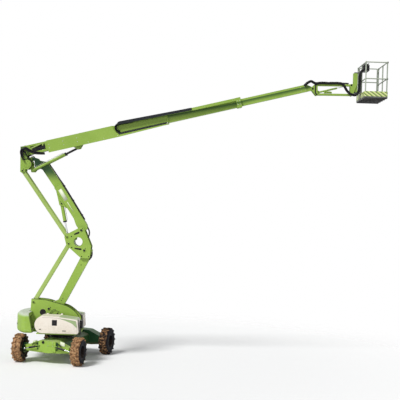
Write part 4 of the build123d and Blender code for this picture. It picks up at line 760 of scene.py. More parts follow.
class Shape:
    """Solids gathered in one mesh, drawn in a set of axes."""

    def __init__(self, axes: Axes, finish: Finish) -> None:
        """Starts empty.

        Args:
            axes: Axes that every size is given in.
            finish: Finish of the solids until another is chosen.
        """
        self.axes = axes
        self.points: list[Vector] = []
        self.faces: list[tuple[int, ...]] = []
        self.tones: list[int] = []
        self.mud: list[float] = []
        self.finishes: list[Finish] = []
        self.tone = 0
        self.paint(finish)

    def paint(self, finish: Finish) -> "Shape":
        """Chooses the finish of the solids that follow."""
        if finish not in self.finishes:
            self.finishes.append(finish)
        self.tone = self.finishes.index(finish)
        return self

    def add(self, points: Sequence[Vector], faces: Sequence[Sequence[int]]) -> None:
        """Adds a solid.

        Args:
            points: Its corners in the shape's axes.
            faces: Its faces by corner number.
        """
        first = len(self.points)
        self.points.extend(self.axes.at(*p) for p in points)
        self.faces.extend(tuple(first + i for i in face) for face in faces)
        self.tones.extend([self.tone] * len(faces))

    def _take(self, solid: bmesh.types.BMesh) -> None:
        """Adds a working mesh and frees it."""
        solid.verts.index_update()
        points = [v.co.copy() for v in solid.verts]
        faces = [[v.index for v in f.verts] for f in solid.faces]
        solid.free()
        self.add(points, faces)

    def block(self, low: Point, high: Point, edge: float = 0.003, segments: int = 2) -> None:
        """Adds a box with rounded edges.

        Args:
            low: Lowest corner.
            high: Highest corner.
            edge: Radius of its edges.
            segments: Facets round an edge.
        """
        solid = bmesh.new()
        size = [h - l for l, h in zip(low, high)]
        middle = [(h + l) / 2 for l, h in zip(low, high)]
        bmesh.ops.create_cube(
            solid, size=1.0, matrix=Matrix.Translation(middle) @ Matrix.Diagonal((*size, 1.0)),
        )
        radius = min(edge, min(size) * 0.45)
        bmesh.ops.bevel(
            solid, geom=solid.edges[:], offset=radius, segments=segments, profile=0.5, affect="EDGES",
        )
        self._take(solid)

    def slab(
        self, outline: Outline, near: float, far: float, edge: float = 0.003, plane: Plane = Plane.SIDE
    ) -> None:
        """Adds a plate with rounded edges.

        Args:
            outline: Corners of the plate in its plane.
            near: Where its thickness starts.
            far: Where its thickness ends.
            edge: Radius of its edges.
            plane: Plane that it is drawn in.
        """
        solid = bmesh.new()
        lower = [solid.verts.new(plane.point(a, b, near)) for a, b in outline]
        upper = [solid.verts.new(plane.point(a, b, far)) for a, b in outline]
        solid.faces.new(lower)
        solid.faces.new(upper)
        for i in range(len(lower)):
            j = (i + 1) % len(lower)
            solid.faces.new((lower[i], lower[j], upper[j], upper[i]))
        bmesh.ops.recalc_face_normals(solid, faces=solid.faces[:])
        if edge:
            rim = [e for e in solid.edges if e.calc_face_angle(0.0) > 0.5]
            bmesh.ops.bevel(
                solid, geom=rim, offset=edge, segments=2, profile=0.5, affect="EDGES", clamp_overlap=True,
            )
        self._take(solid)

    def turn(self, profile: Outline, origin: Point, axis: Point, sides: int = 32) -> None:
        """Adds a turned solid.

        Args:
            profile: Distance along the axis and radius of each corner, from end to end.
            origin: Where the axis starts.
            axis: Its direction.
            sides: Facets round it.
        """
        way = Vector(axis).normalized()
        one = way.orthogonal().normalized()
        two = way.cross(one)
        start = Vector(origin)
        points, faces = [], []
        for reach, radius in profile:
            for k in range(sides):
                angle = 2 * pi * k / sides
                points.append(start + way * reach + (one * cos(angle) + two * sin(angle)) * max(radius, 0.0))
        for ring in range(len(profile) - 1):
            for k in range(sides):
                j = (k + 1) % sides
                a, b = ring * sides, (ring + 1) * sides
                faces.append((a + k, a + j, b + j, b + k))
        last = (len(profile) - 1) * sides
        if profile[0] != profile[-1]:
            faces.append(tuple(reversed(range(sides))))
            faces.append(tuple(range(last, last + sides)))
        self.add(points, faces)

    def ring(self, profile: Outline, origin: Point, axis: Point, sides: int = 32) -> None:
        """Adds a turned ring, whose profile closes on its first corner."""
        self.turn([*profile, profile[0]], origin, axis, sides)

    def boss(self, profile: Outline, place: Point, sides: int) -> None:
        """Adds a turned solid that stands out of a side face, away from the middle."""
        self.turn(profile, place, (0, 1 if place[1] > 0 else -1, 0), sides)

    def plate(
        self,
        middle: tuple[float, float],
        half: tuple[float, float],
        near: float,
        far: float,
        edge: float = 0.0015,
        plane: Plane = Plane.SIDE,
    ) -> None:
        """Adds an oblong plate.

        Args:
            middle: Its middle in its plane.
            half: Half of its size both ways.
            near: Where its thickness starts.
            far: Where its thickness ends.
            edge: Radius of its edges.
            plane: Plane that it is drawn in.
        """
        (a, c), (wide, high) = middle, half
        corners = [(a - wide, c - high), (a + wide, c - high), (a + wide, c + high), (a - wide, c + high)]
        self.slab(corners, near, far, edge, plane)

    def rod(self, start: Point, end: Point, radius: float, sides: int = 20, edge: float = 0.002) -> None:
        """Adds a round bar with chamfered ends.

        Args:
            start: Middle of one end.
            end: Middle of the other.
            radius: Its radius.
            sides: Facets round it.
            edge: Chamfer of its ends.
        """
        way = Vector(end) - Vector(start)
        length = way.length
        profile = [(0, radius - edge), (edge, radius), (length - edge, radius), (length, radius - edge)]
        self.turn(profile, start, way, sides)

    def hose(self, points: Sequence[Point], radius: float, sides: int = 10, steps: int = 6) -> None:
        """Adds a hose or wire along a smooth line.

        Args:
            points: Points that it passes.
            radius: Its radius.
            sides: Facets round it.
            steps: Pieces between two points.
        """
        line = smooth_line([Vector(p) for p in points], steps)
        way = (line[1] - line[0]).normalized()
        one = way.orthogonal().normalized()
        rings, faces = [], []
        for i, place in enumerate(line):
            ahead = (line[min(i + 1, len(line) - 1)] - line[max(i - 1, 0)]).normalized()
            one = (one - ahead * one.dot(ahead)).normalized()
            two = ahead.cross(one)
            for k in range(sides):
                angle = 2 * pi * k / sides
                rings.append(place + (one * cos(angle) + two * sin(angle)) * radius)
        for i in range(len(line) - 1):
            for k in range(sides):
                j = (k + 1) % sides
                faces.append((i * sides + k, i * sides + j, (i + 1) * sides + j, (i + 1) * sides + k))
        faces.append(tuple(reversed(range(sides))))
        faces.append(tuple(range(len(rings) - sides, len(rings))))
        self.add(rings, faces)

    def strands(
        self, line: Sequence[Point], radius: float, first: float, step: float, count: int, steps: int = 6
    ) -> None:
        """Adds hoses that run side by side.

        Args:
            line: Place along, share of a hose's place to the side, and place up of each point.
            radius: Radius of each hose.
            first: Place to the side of the first hose.
            step: Distance from hose to hose.
            count: Number of hoses.
            steps: Pieces between two points.
        """
        for k in range(count):
            side = first + step * k
            self.hose([(a, side * share, c) for a, share, c in line], radius, 10, steps)

    def bolt(self, place: Point, way: Point, size: float) -> None:
        """Adds a hexagon head on a washer.

        Args:
            place: Where the head sits.
            way: Direction out of the surface.
            size: Half of the head's width across its flats.
        """
        self.turn([(-0.001, size * 1.5), (size * 0.25, size * 1.5), (size * 0.3, size * 1.4)], place, way, 16)
        corner = size / cos(pi / 6)
        self.turn([(0, corner), (size, corner), (size * 1.2, size * 0.86)], place, way, 6)

    def bolt_circle(
        self, middle: Point, hand: int, reach: float, count: int, size: float, first: float = 0.0
    ) -> None:
        """Adds bolts in a circle on a face that looks to one side.

        Args:
            middle: Middle of the circle.
            hand: 1 for heads that point along +side, -1 for the other way.
            reach: Radius of the circle.
            count: Number of bolts.
            size: Half of a head's width across its flats.
            first: Angle of the first bolt in radians.
        """
        a, b, c = middle
        for k in range(count):
            turn = 2 * pi * k / count + first
            self.bolt((a + cos(turn) * reach, b, c + sin(turn) * reach), (0, hand, 0), size)

    def pin_cap(self, a: float, c: float, face: float, radius: float, lean: float) -> None:
        """Adds a pin's end in its collar, with a bolt beside it.

        Args:
            a: Place along.
            c: Place up.
            face: Signed distance to the side that the pin's end stands at.
            radius: The pin's radius.
            lean: Direction from the pin to the bolt, in degrees.
        """
        hand = 1 if face > 0 else -1
        self.paint(Finish.BLACK_STEEL)
        self.turn([
            (0, radius * 0.98), (0.006, radius * 0.98), (0.01, radius * 0.8), (0.01, radius * 0.2),
            (0.004, radius * 0.16),
        ], (a, face, c), (0, hand, 0), 28)
        out = radius + 0.034
        x, z = a + cos(radians(lean)) * out, c + sin(radians(lean)) * out
        self.paint(Finish.LIME)
        self.ring([
            (-0.012, radius + 0.022), (-0.003, radius + 0.022), (0.0, radius + 0.018), (0.0, radius),
            (-0.012, radius),
        ], (a, face, c), (0, hand, 0), 28)
        self.paint(Finish.BLACK_STEEL)
        self.bolt((x, face - hand * 0.012, z), (0, hand, 0), 0.009)

    def weld(self, start: Point, end: Point, radius: float = 0.004) -> None:
        """Adds a rippled weld bead along an edge.

        Args:
            start: Where the bead starts.
            end: Where it ends.
            radius: Its radius.
        """
        a, b = Vector(start), Vector(end)
        way = b - a
        count = max(6, int(way.length / 0.022))
        profile = [(way.length * i / count, radius * (1.0 + 0.22 * (-1) ** i)) for i in range(count + 1)]
        profile[0] = (0.0, radius * 0.4)
        profile[-1] = (way.length, radius * 0.4)
        self.turn(profile, start, way, 6)

    def mesh(self, name: str) -> bpy.types.Object:
        """Object made of all the solids.

        Args:
            name: Name of the piece.

        Returns:
            The object, linked to the scene.
        """
        data = bpy.data.meshes.new(name)
        data.from_pydata([tuple(p) for p in self.points], [], self.faces)
        data.polygons.foreach_set("material_index", self.tones)
        if self.mud:
            data.attributes.new("mud", "FLOAT", "POINT").data.foreach_set("value", self.mud)
        solid = bmesh.new()
        solid.from_mesh(data)
        bmesh.ops.remove_doubles(solid, verts=solid.verts[:], dist=2e-6)
        bmesh.ops.recalc_face_normals(solid, faces=solid.faces[:])
        solid.to_mesh(data)
        solid.free()
        data.polygons.foreach_set("use_smooth", [True] * len(data.polygons))
        data.set_sharp_from_angle(angle=radians(SHARP_EDGE))
        for finish in self.finishes:
            data.materials.append(SHOP.get(finish))
        made = bpy.data.objects.new(name, data)
        bpy.context.scene.collection.objects.link(made)
        return made

    def build(self, name: str, body: str, slot: str) -> bpy.types.Object:
        """Makes the piece and joins it to a body of the machine.

        Args:
            name: Name of the piece.
            body: Body that it moves with.
            slot: Not used.

        Returns:
            The piece.
        """
        made = self.mesh(name)
        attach(made, body)
        LOG.info("built %s on %s with %d faces", name, body, len(made.data.polygons))
        return made

    def span(self, name: str, bodies: tuple[str, ...]) -> bpy.types.Object:
        """Makes a hose piece laid between two jointed bodies, held at rest and joined to neither.

        Args:
            name: Name of the piece.
            bodies: Bodies at its start and its end.

        Returns:
            The piece.
        """
        made = self.mesh(name)
        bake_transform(made)
        LOG.info("built %s between %s and %s", name, *bodies)
        return made


# ---------------------------------------------------------------- finishes of the plain solids
class Coat:
    """Gives each solid of the frame its finish."""

    TABLE = {
        Finish.LIME: (
            "turntable_frame", "riser_lower", "knuckle_mid",
            "riser_ram_barrel", "luff_ram_barrels", "boom_outer", "jib_base",
            "jib_lower_arm", "jib_upper_arm", "jib_post", "jib_ram_barrel",
        ),
        Finish.TIE: ("tie_lower", "tie_upper"),
        Finish.RISER: ("riser_upper",),
        Finish.HEAD: ("knuckle_top",),
        Finish.MID_BOOM: ("boom_mid",),
        Finish.TIP_BOOM: ("boom_inner",),
        Finish.CHASSIS: ("chassis_frame", "front_axle"),
        # Painted shade: these parts take the shaded copy of the lime paint.
        Finish.SHADED_LIME: ("rear_axle", "knuckle_left", "knuckle_right"),
        Finish.CAST_GREEN: ("counterweight",),
        Finish.COWL: ("cowl_right", "cowl_left"),
        Finish.BLACK_STEEL: ("slew_ring", "steer_barrel_left", "steer_barrel_right", "luff_ram_rods"),
        Finish.CHROME: ("steer_rod_left", "steer_rod_right", "riser_ram_rod", "jib_ram_rod"),
        Finish.RIM: ("rim_front_left", "rim_front_right", "rim_rear_left", "rim_rear_right"),
        Finish.TYRE: ("tyre_front_left", "tyre_front_right", "tyre_rear_left", "tyre_rear_right"),
        Finish.BLOCK: ("engine_block",),
        Finish.TANK: ("hydraulic_tank",),
        Finish.CONTROL: ("ground_controls", "basket_console"),
        Finish.HOSE: ("jib_hoses",),
        Finish.CHAIN: ("hose_chain_lower", "hose_chain_bend"),
        Finish.RAIL: ("basket_rails", "basket_gate"),
        Finish.DECK: ("basket_floor",),
        Finish.HAZARD: ("toe_boards",),
    }

    def apply(self) -> None:
        """Puts each finish on its solids."""
        for finish, names in self.TABLE.items():
            for name in names:
                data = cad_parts[name].data
                data.materials.clear()
                data.materials.append(SHOP.get(finish))
            LOG.info("coated %s with %s", ", ".join(names), finish.name)


# ---------------------------------------------------------------- wheels
FRONT_AXLE = 0.99
REAR_AXLE = -1.46
TRACK_HALF = 0.975
STEER_REST = 4.5


@dataclass
class Wheel:
    """Lugged tyre, its beads, and the nuts and hub of its disc."""

    place: str
    axle: float
    hand: int
    turn: float = 0.0
    kingpin: float = 0.76
    radius: float = 0.44
    carcass: float = 0.406
    bead: float = 0.129
    nut_circle: float = 0.068
    lugs: int = 15
    lug_half: float = 0.022
    slant: float = 0.062
    hub_face: float = 0.02
    nuts: int = 10
    mud: float = 1.0

    def axes(self) -> Axes:
        """Axes at the wheel's centre: ahead, outward and up."""
        out = CHASSIS.side * self.hand
        centre = CHASSIS.at(self.axle, self.hand * TRACK_HALF, self.radius)
        if self.turn:
            spin = Matrix.Rotation(radians(self.turn), 3, "Z")
            out = spin @ out
            centre = CHASSIS.at(
                self.axle, self.hand * self.kingpin, self.radius,
            ) + out * (TRACK_HALF - self.kingpin)
        return Axes(centre, CHASSIS.up.cross(out), out, CHASSIS.up)

    def soil(self, axes: Axes, point: Vector) -> float:
        """Share of mud at a point of the tyre.

        Args:
            axes: The wheel's axes.
            point: Point of the mesh.

        Returns:
            0 for clean rubber to 1 for caked soil.
        """
        rel = point - axes.origin
        out = rel.dot(axes.side)
        reach = (rel - axes.side * out).length
        tread = min(max((reach - 0.35) / 0.045, 0.0), 1.0) * min(max((0.165 - abs(out)) / 0.03, 0.0), 1.0)
        wall = 0.3 if out < 0 else 0.02
        return wall + (0.86 * self.mud - wall) * tread

    def tyre(self, axes: Axes) -> None:
        """Builds the carcass with its raised rings, and two banks of slanted lugs."""
        shape = Shape(axes, Finish.TYRE)
        wall = [
            (self.bead, 0.212), (0.137, 0.216), (0.142, 0.228), (0.14, 0.24), (0.146, 0.256), (0.1495, 0.28),
            (0.1495, 0.3), (0.147, 0.303), (0.147, 0.31), (0.1495, 0.313), (0.149, 0.335), (0.144, 0.36),
            (0.133, 0.382), (0.115, 0.395), (0.08, 0.402), (0.04, 0.4055), (0.0, self.carcass),
        ]
        profile = [(-x, r) for x, r in wall] + [(x, r) for x, r in reversed(wall[:-1])]
        shape.turn([*profile, profile[0]], (0, 0, 0), (0, 1, 0), 96)
        for lug in range(self.lugs):
            for bank, lead in ((1, 0.0), (-1, 0.5)):
                spin = 2 * pi * (lug + lead) / self.lugs
                radial = axes.along * sin(spin) - axes.up * cos(spin)
                tangent = radial.cross(axes.side)
                shape.axes = Axes(axes.origin + radial * (self.carcass - 0.03), axes.side, tangent, radial)
                self.lug(shape, bank)
        shape.axes = axes
        shape.mud = [self.soil(axes, p) for p in shape.points]
        made = shape.build(f"lugged_tyre_{self.place}", f"wheel_{self.place}", "tyre")
        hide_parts(f"tyre_{self.place}")

    def lug(self, shape: Shape, bank: int) -> None:
        """Adds one lug, thinner at its crown and running down over the shoulder."""
        stations = ((0.004, 0.0), (0.03, 0.13), (0.075, 0.45), (0.112, 0.8), (0.1475, 1.0))
        crown = (0.063, 0.0632, 0.0625, 0.06, 0.043)
        points, faces = [], []
        for (out, share), top in zip(stations, crown):
            middle = self.slant * (share - 0.5)
            for side, up in (
                (-1.0, 0.0), (-0.92, top - 0.008), (-0.74, top), (0.74, top), (0.92, top - 0.008), (1.0, 0.0),
            ):
                points.append(Vector((bank * out, middle + side * self.lug_half, up)))
        count = 6
        for ring in range(len(stations) - 1):
            for k in range(count):
                j = (k + 1) % count
                a, b = ring * count, (ring + 1) * count
                faces.append((a + k, a + j, b + j, b + k))
        faces.append(tuple(range(count)))
        faces.append(tuple(range(len(points) - count, len(points))))
        shape.add(points, faces)

    def disc(self, axes: Axes) -> None:
        """Builds the rim's flanges, hub cap, wheel nuts and valve."""
        shape = Shape(axes, Finish.RIM)
        for hand in (-1, 1):
            edge = hand * self.bead
            shape.ring([
                (-0.006, 0.2), (-0.006, 0.219), (0.0, 0.224), (0.006, 0.219), (0.006, 0.2),
            ], (0, edge, 0), (0, 1, 0), 64)
        shape.paint(Finish.SHADED_LIME)
        shape.turn([
            (0, 0.056), (0.024, 0.054), (0.034, 0.046), (0.036, 0.018), (0.032, 0.016), (0.032, 0.0),
        ], (0, self.hub_face - 0.002, 0), (0, 1, 0), 36)
        shape.paint(Finish.ZINC).bolt_circle((0, self.hub_face, 0), 1, self.nut_circle, self.nuts, 0.0085)
        shape.paint(Finish.HOSE)
        shape.rod((0.176, -0.01, 0), (0.18, 0.022, 0), 0.005, 10, 0.001)
        shape.build(f"wheel_fittings_{self.place}", f"wheel_{self.place}", "dark_rim")

    def build(self) -> None:
        """Builds the whole wheel."""
        axes = self.axes()
        self.tyre(axes)
        self.disc(axes)


# ---------------------------------------------------------------- chassis
@dataclass
class Chassis:
    """Slewing gear, the front box's fittings, lashing rings, steering hoses and hub drives."""

    deck: float = 0.72
    ring: float = 0.35
    teeth: int = 84
    tooth: float = 0.013
    flange_bolts: int = 24
    box_front: float = 1.155
    box_half: float = 0.285
    hole: tuple[float, float, float] = (-0.129, 0.672, 0.045)
    tooth_low: float = 0.742
    tooth_high: float = 0.79
    flange_circle: float = 0.384
    wing: float = 0.121
    motor_in: float = 0.8

    def slewing_gear(self) -> None:
        """Builds the gear's teeth, the flange under it and its bolts."""
        shape = Shape(MACHINE, Finish.BLACK_STEEL)
        shape.ring([
            (0, 0.3), (0, 0.402), (0.01, 0.404), (0.014, 0.4), (0.014, 0.3),
        ], (0, 0, self.deck), (0, 0, 1), 72)
        shape.ring([
            (0.075, 0.34), (0.075, 0.362), (0.083, 0.366), (0.118, 0.366), (0.126, 0.362), (0.126, 0.34),
        ], (0, 0, self.deck), (0, 0, 1), 72)
        for k in range(self.teeth):
            turn = 2 * pi * k / self.teeth
            way = Vector((cos(turn), sin(turn), 0))
            shape.axes = Axes(way * self.ring, way, Vector((-way.y, way.x, 0)), Vector((0, 0, 1)))
            half = pi * self.ring / self.teeth * 0.55
            shape.slab([
                (-0.004, -half), (self.tooth, -half * 0.45), (self.tooth, half * 0.45), (-0.004, half),
            ], self.tooth_low, self.tooth_high, 0.0015, Plane.FLAT)
        shape.axes = MACHINE
        for k in range(self.flange_bolts):
            turn = 2 * pi * (k + 0.5) / self.flange_bolts
            place = (cos(turn) * self.flange_circle, sin(turn) * self.flange_circle, self.deck + 0.014)
            shape.paint(Finish.ZINC).bolt(place, (0, 0, 1), 0.009)
        shape.build("slewing_gear", "chassis", "black_steel")

    def front_box(self) -> None:
        """Builds the plugged hole, drain plug, seam welds, lashing rings and cover plate of the front box."""
        shape = Shape(CHASSIS, Finish.BLACK_STEEL)
        left, up, radius = self.hole
        face = self.box_front
        shape.turn([
            (-0.03, radius), (-0.004, radius), (0.004, radius * 0.98), (0.004, radius * 0.86),
            (-0.022, radius * 0.8), (-0.022, 0.0),
        ], (face, left, up), (1, 0, 0), 36)
        shape.turn([
            (-0.002, 0.02), (0.004, 0.019), (0.006, 0.013), (0.002, 0.009), (0.002, 0.0),
        ], (face, -0.25, 0.556), (1, 0, 0), 20)
        shape.paint(Finish.LIME)
        shape.ring([
            (-0.001, radius + 0.013), (0.004, radius + 0.011), (0.004, radius + 0.002),
            (-0.001, radius + 0.002),
        ], (face, left, up), (1, 0, 0), 36)
        wing = FRONT_AXLE + self.wing
        for hand in (-1, 1):
            corner, root = hand * self.box_half, hand * (self.box_half + 0.002)
            shape.weld((face - 0.003, corner, 0.4), (face - 0.003, corner, 0.712))
            shape.weld((wing, root, 0.39), (wing, root, 0.71), 0.005)
            ring = [
                (0.002, -0.035, 0.4), (0.03, -0.03, 0.395), (0.044, 0.0, 0.392), (0.03, 0.03, 0.395),
                (0.002, 0.035, 0.4),
            ]
            shape.paint(Finish.LIME).hose([(face + a, hand * 0.2 + b, c) for a, b, c in ring], 0.01, 12)
        shape.block((face - 0.001, 0.02, 0.56), (face + 0.006, 0.215, 0.69), 0.003)
        for a in (0.038, 0.197):
            for c in (0.578, 0.672):
                shape.paint(Finish.ZINC).bolt((face + 0.006, a, c), (1, 0, 0), 0.007)
        shape.build("front_box_fittings", "chassis", "green_paint")

    def deck_fittings(self) -> None:
        """Builds the deck's hatch, the pale hose guards, dark-green sheets on the wings that stand in for the
        shade of their recesses (painted shade), and the kingpins' caps.
        """
        shape = Shape(CHASSIS, Finish.CHASSIS)
        shape.slab([
            (0.5, -0.17), (0.8, -0.17), (0.82, -0.15), (0.82, 0.15), (0.8, 0.17), (0.5, 0.17),
        ], self.deck - 0.001, self.deck + 0.007, 0.003, Plane.FLAT)
        for a, b in ((0.53, -0.14), (0.53, 0.14), (0.79, -0.14), (0.79, 0.14)):
            shape.paint(Finish.ZINC).bolt((a, b, self.deck + 0.007), (0, 0, 1), 0.008)
        shape.paint(Finish.PLATE)
        shape.slab([
            (FRONT_AXLE - 0.05, -0.5), (FRONT_AXLE + 0.1, -0.5), (FRONT_AXLE + 0.12, -0.42),
            (FRONT_AXLE - 0.05, -0.42),
        ], 0.655, 0.69, 0.008, Plane.FLAT)
        shape.slab([
            (0.43, 0.62), (0.56, 0.575), (0.58, 0.6), (0.58, 0.69), (0.43, 0.73),
        ], FRONT_AXLE + 0.122, FRONT_AXLE + 0.13, 0.003, Plane.CROSS)
        shape.paint(Finish.CHASSIS)
        shape.slab([
            (-0.52, 0.6), (-0.4, 0.64), (-0.4, 0.665), (-0.52, 0.665),
        ], FRONT_AXLE - 0.02, FRONT_AXLE + 0.06, 0.004, Plane.CROSS)
        for hand in (-1, 1):
            # Painted shade: a thin dark-green sheet on each wing stands in for the shade in its recess.
            recess_shade_sheet = [
                (hand * 0.292, 0.425), (hand * 0.292, 0.695), (hand * 0.345, 0.69), (hand * 0.345, 0.44),
            ]
            shape.paint(Finish.SHADED_LIME).slab(
                recess_shade_sheet, FRONT_AXLE + 0.1195, FRONT_AXLE + 0.1225, 0.0, Plane.CROSS,
            )
            shape.paint(Finish.CHASSIS)
            shape.turn([
                (0, 0.046), (0.008, 0.046), (0.016, 0.036), (0.018, 0.008), (0.024, 0.007), (0.024, 0.0),
            ], (FRONT_AXLE, hand * 0.7, 0.56), (0, 0, 1), 32)
            shape.weld((-0.2, hand * 0.25, self.deck + 0.001), (-0.88, hand * 0.25, self.deck + 0.001), 0.005)
        shape.build("deck_fittings", "chassis", "green_paint")

    def steering_hoses(self) -> None:
        """Builds a pair of hoses to each steering ram."""
        line = (
            (0.119, 0.34, 0.64, 1.0), (0.15, 0.36, 0.655, 1.0), (0.172, 0.42, 0.64, 1.0),
            (0.175, 0.475, 0.6, 0.5), (0.172, 0.48, 0.566, 0.2),
        )
        for place, hand in (("left", 1), ("right", -1)):
            shape = Shape(CHASSIS, Finish.HOSE)
            for drop in (0.0, 0.03):
                shape.hose(
                    [(FRONT_AXLE + a, hand * b, c - drop * share) for a, b, c, share in line], 0.009, 10,
                )
            start = CHASSIS.at(FRONT_AXLE + 0.15, hand * 0.36, 0.6)
            end = CHASSIS.at(FRONT_AXLE + 0.175, hand * 0.47, 0.6)
            shape.span(f"steering_hoses_{place}", ("chassis", f"steer_barrel_{place}"))

    def hub_drives(self) -> None:
        """Builds the drive motors behind the rear wheels and the rear axle's welds."""
        shape = Shape(CHASSIS, Finish.BLACK_STEEL)
        motor = [(0, 0.062), (0.006, 0.088), (0.07, 0.088), (0.076, 0.076), (0.118, 0.072), (0.122, 0.06)]
        for hand in (-1, 1):
            inner = hand * self.motor_in
            shape.turn(motor, (REAR_AXLE, inner, Wheel.radius), (0, hand, 0), 36)
            shape.paint(Finish.ZINC).bolt_circle(
                (REAR_AXLE, inner + hand * 0.006, Wheel.radius), -hand, 0.078, 8, 0.007,
            )
            shape.paint(Finish.BLACK_STEEL)
        shape.build("hub_drives", "chassis", "black_steel")
        welds = Shape(CHASSIS, Finish.SHADED_LIME)
        for end in (-1, 1):
            place = REAR_AXLE + end * 0.191
            for hand in (-1, 1):
                welds.weld((place, 0.0, 0.806), (place, hand * 0.388, 0.786), 0.005)
                welds.weld((place, hand * 0.392, 0.786), (place, hand * 0.793, 0.601), 0.005)
                welds.weld((place, hand * 0.01, 0.321), (place, hand * 0.558, 0.321), 0.005)
        welds.build("rear_axle_welds", "chassis", "dark_green_paint")

    def build(self) -> None:
        """Builds every fitting of the chassis."""
        self.slewing_gear()
        self.front_box()
        self.deck_fittings()
        self.steering_hoses()
        self.hub_drives()


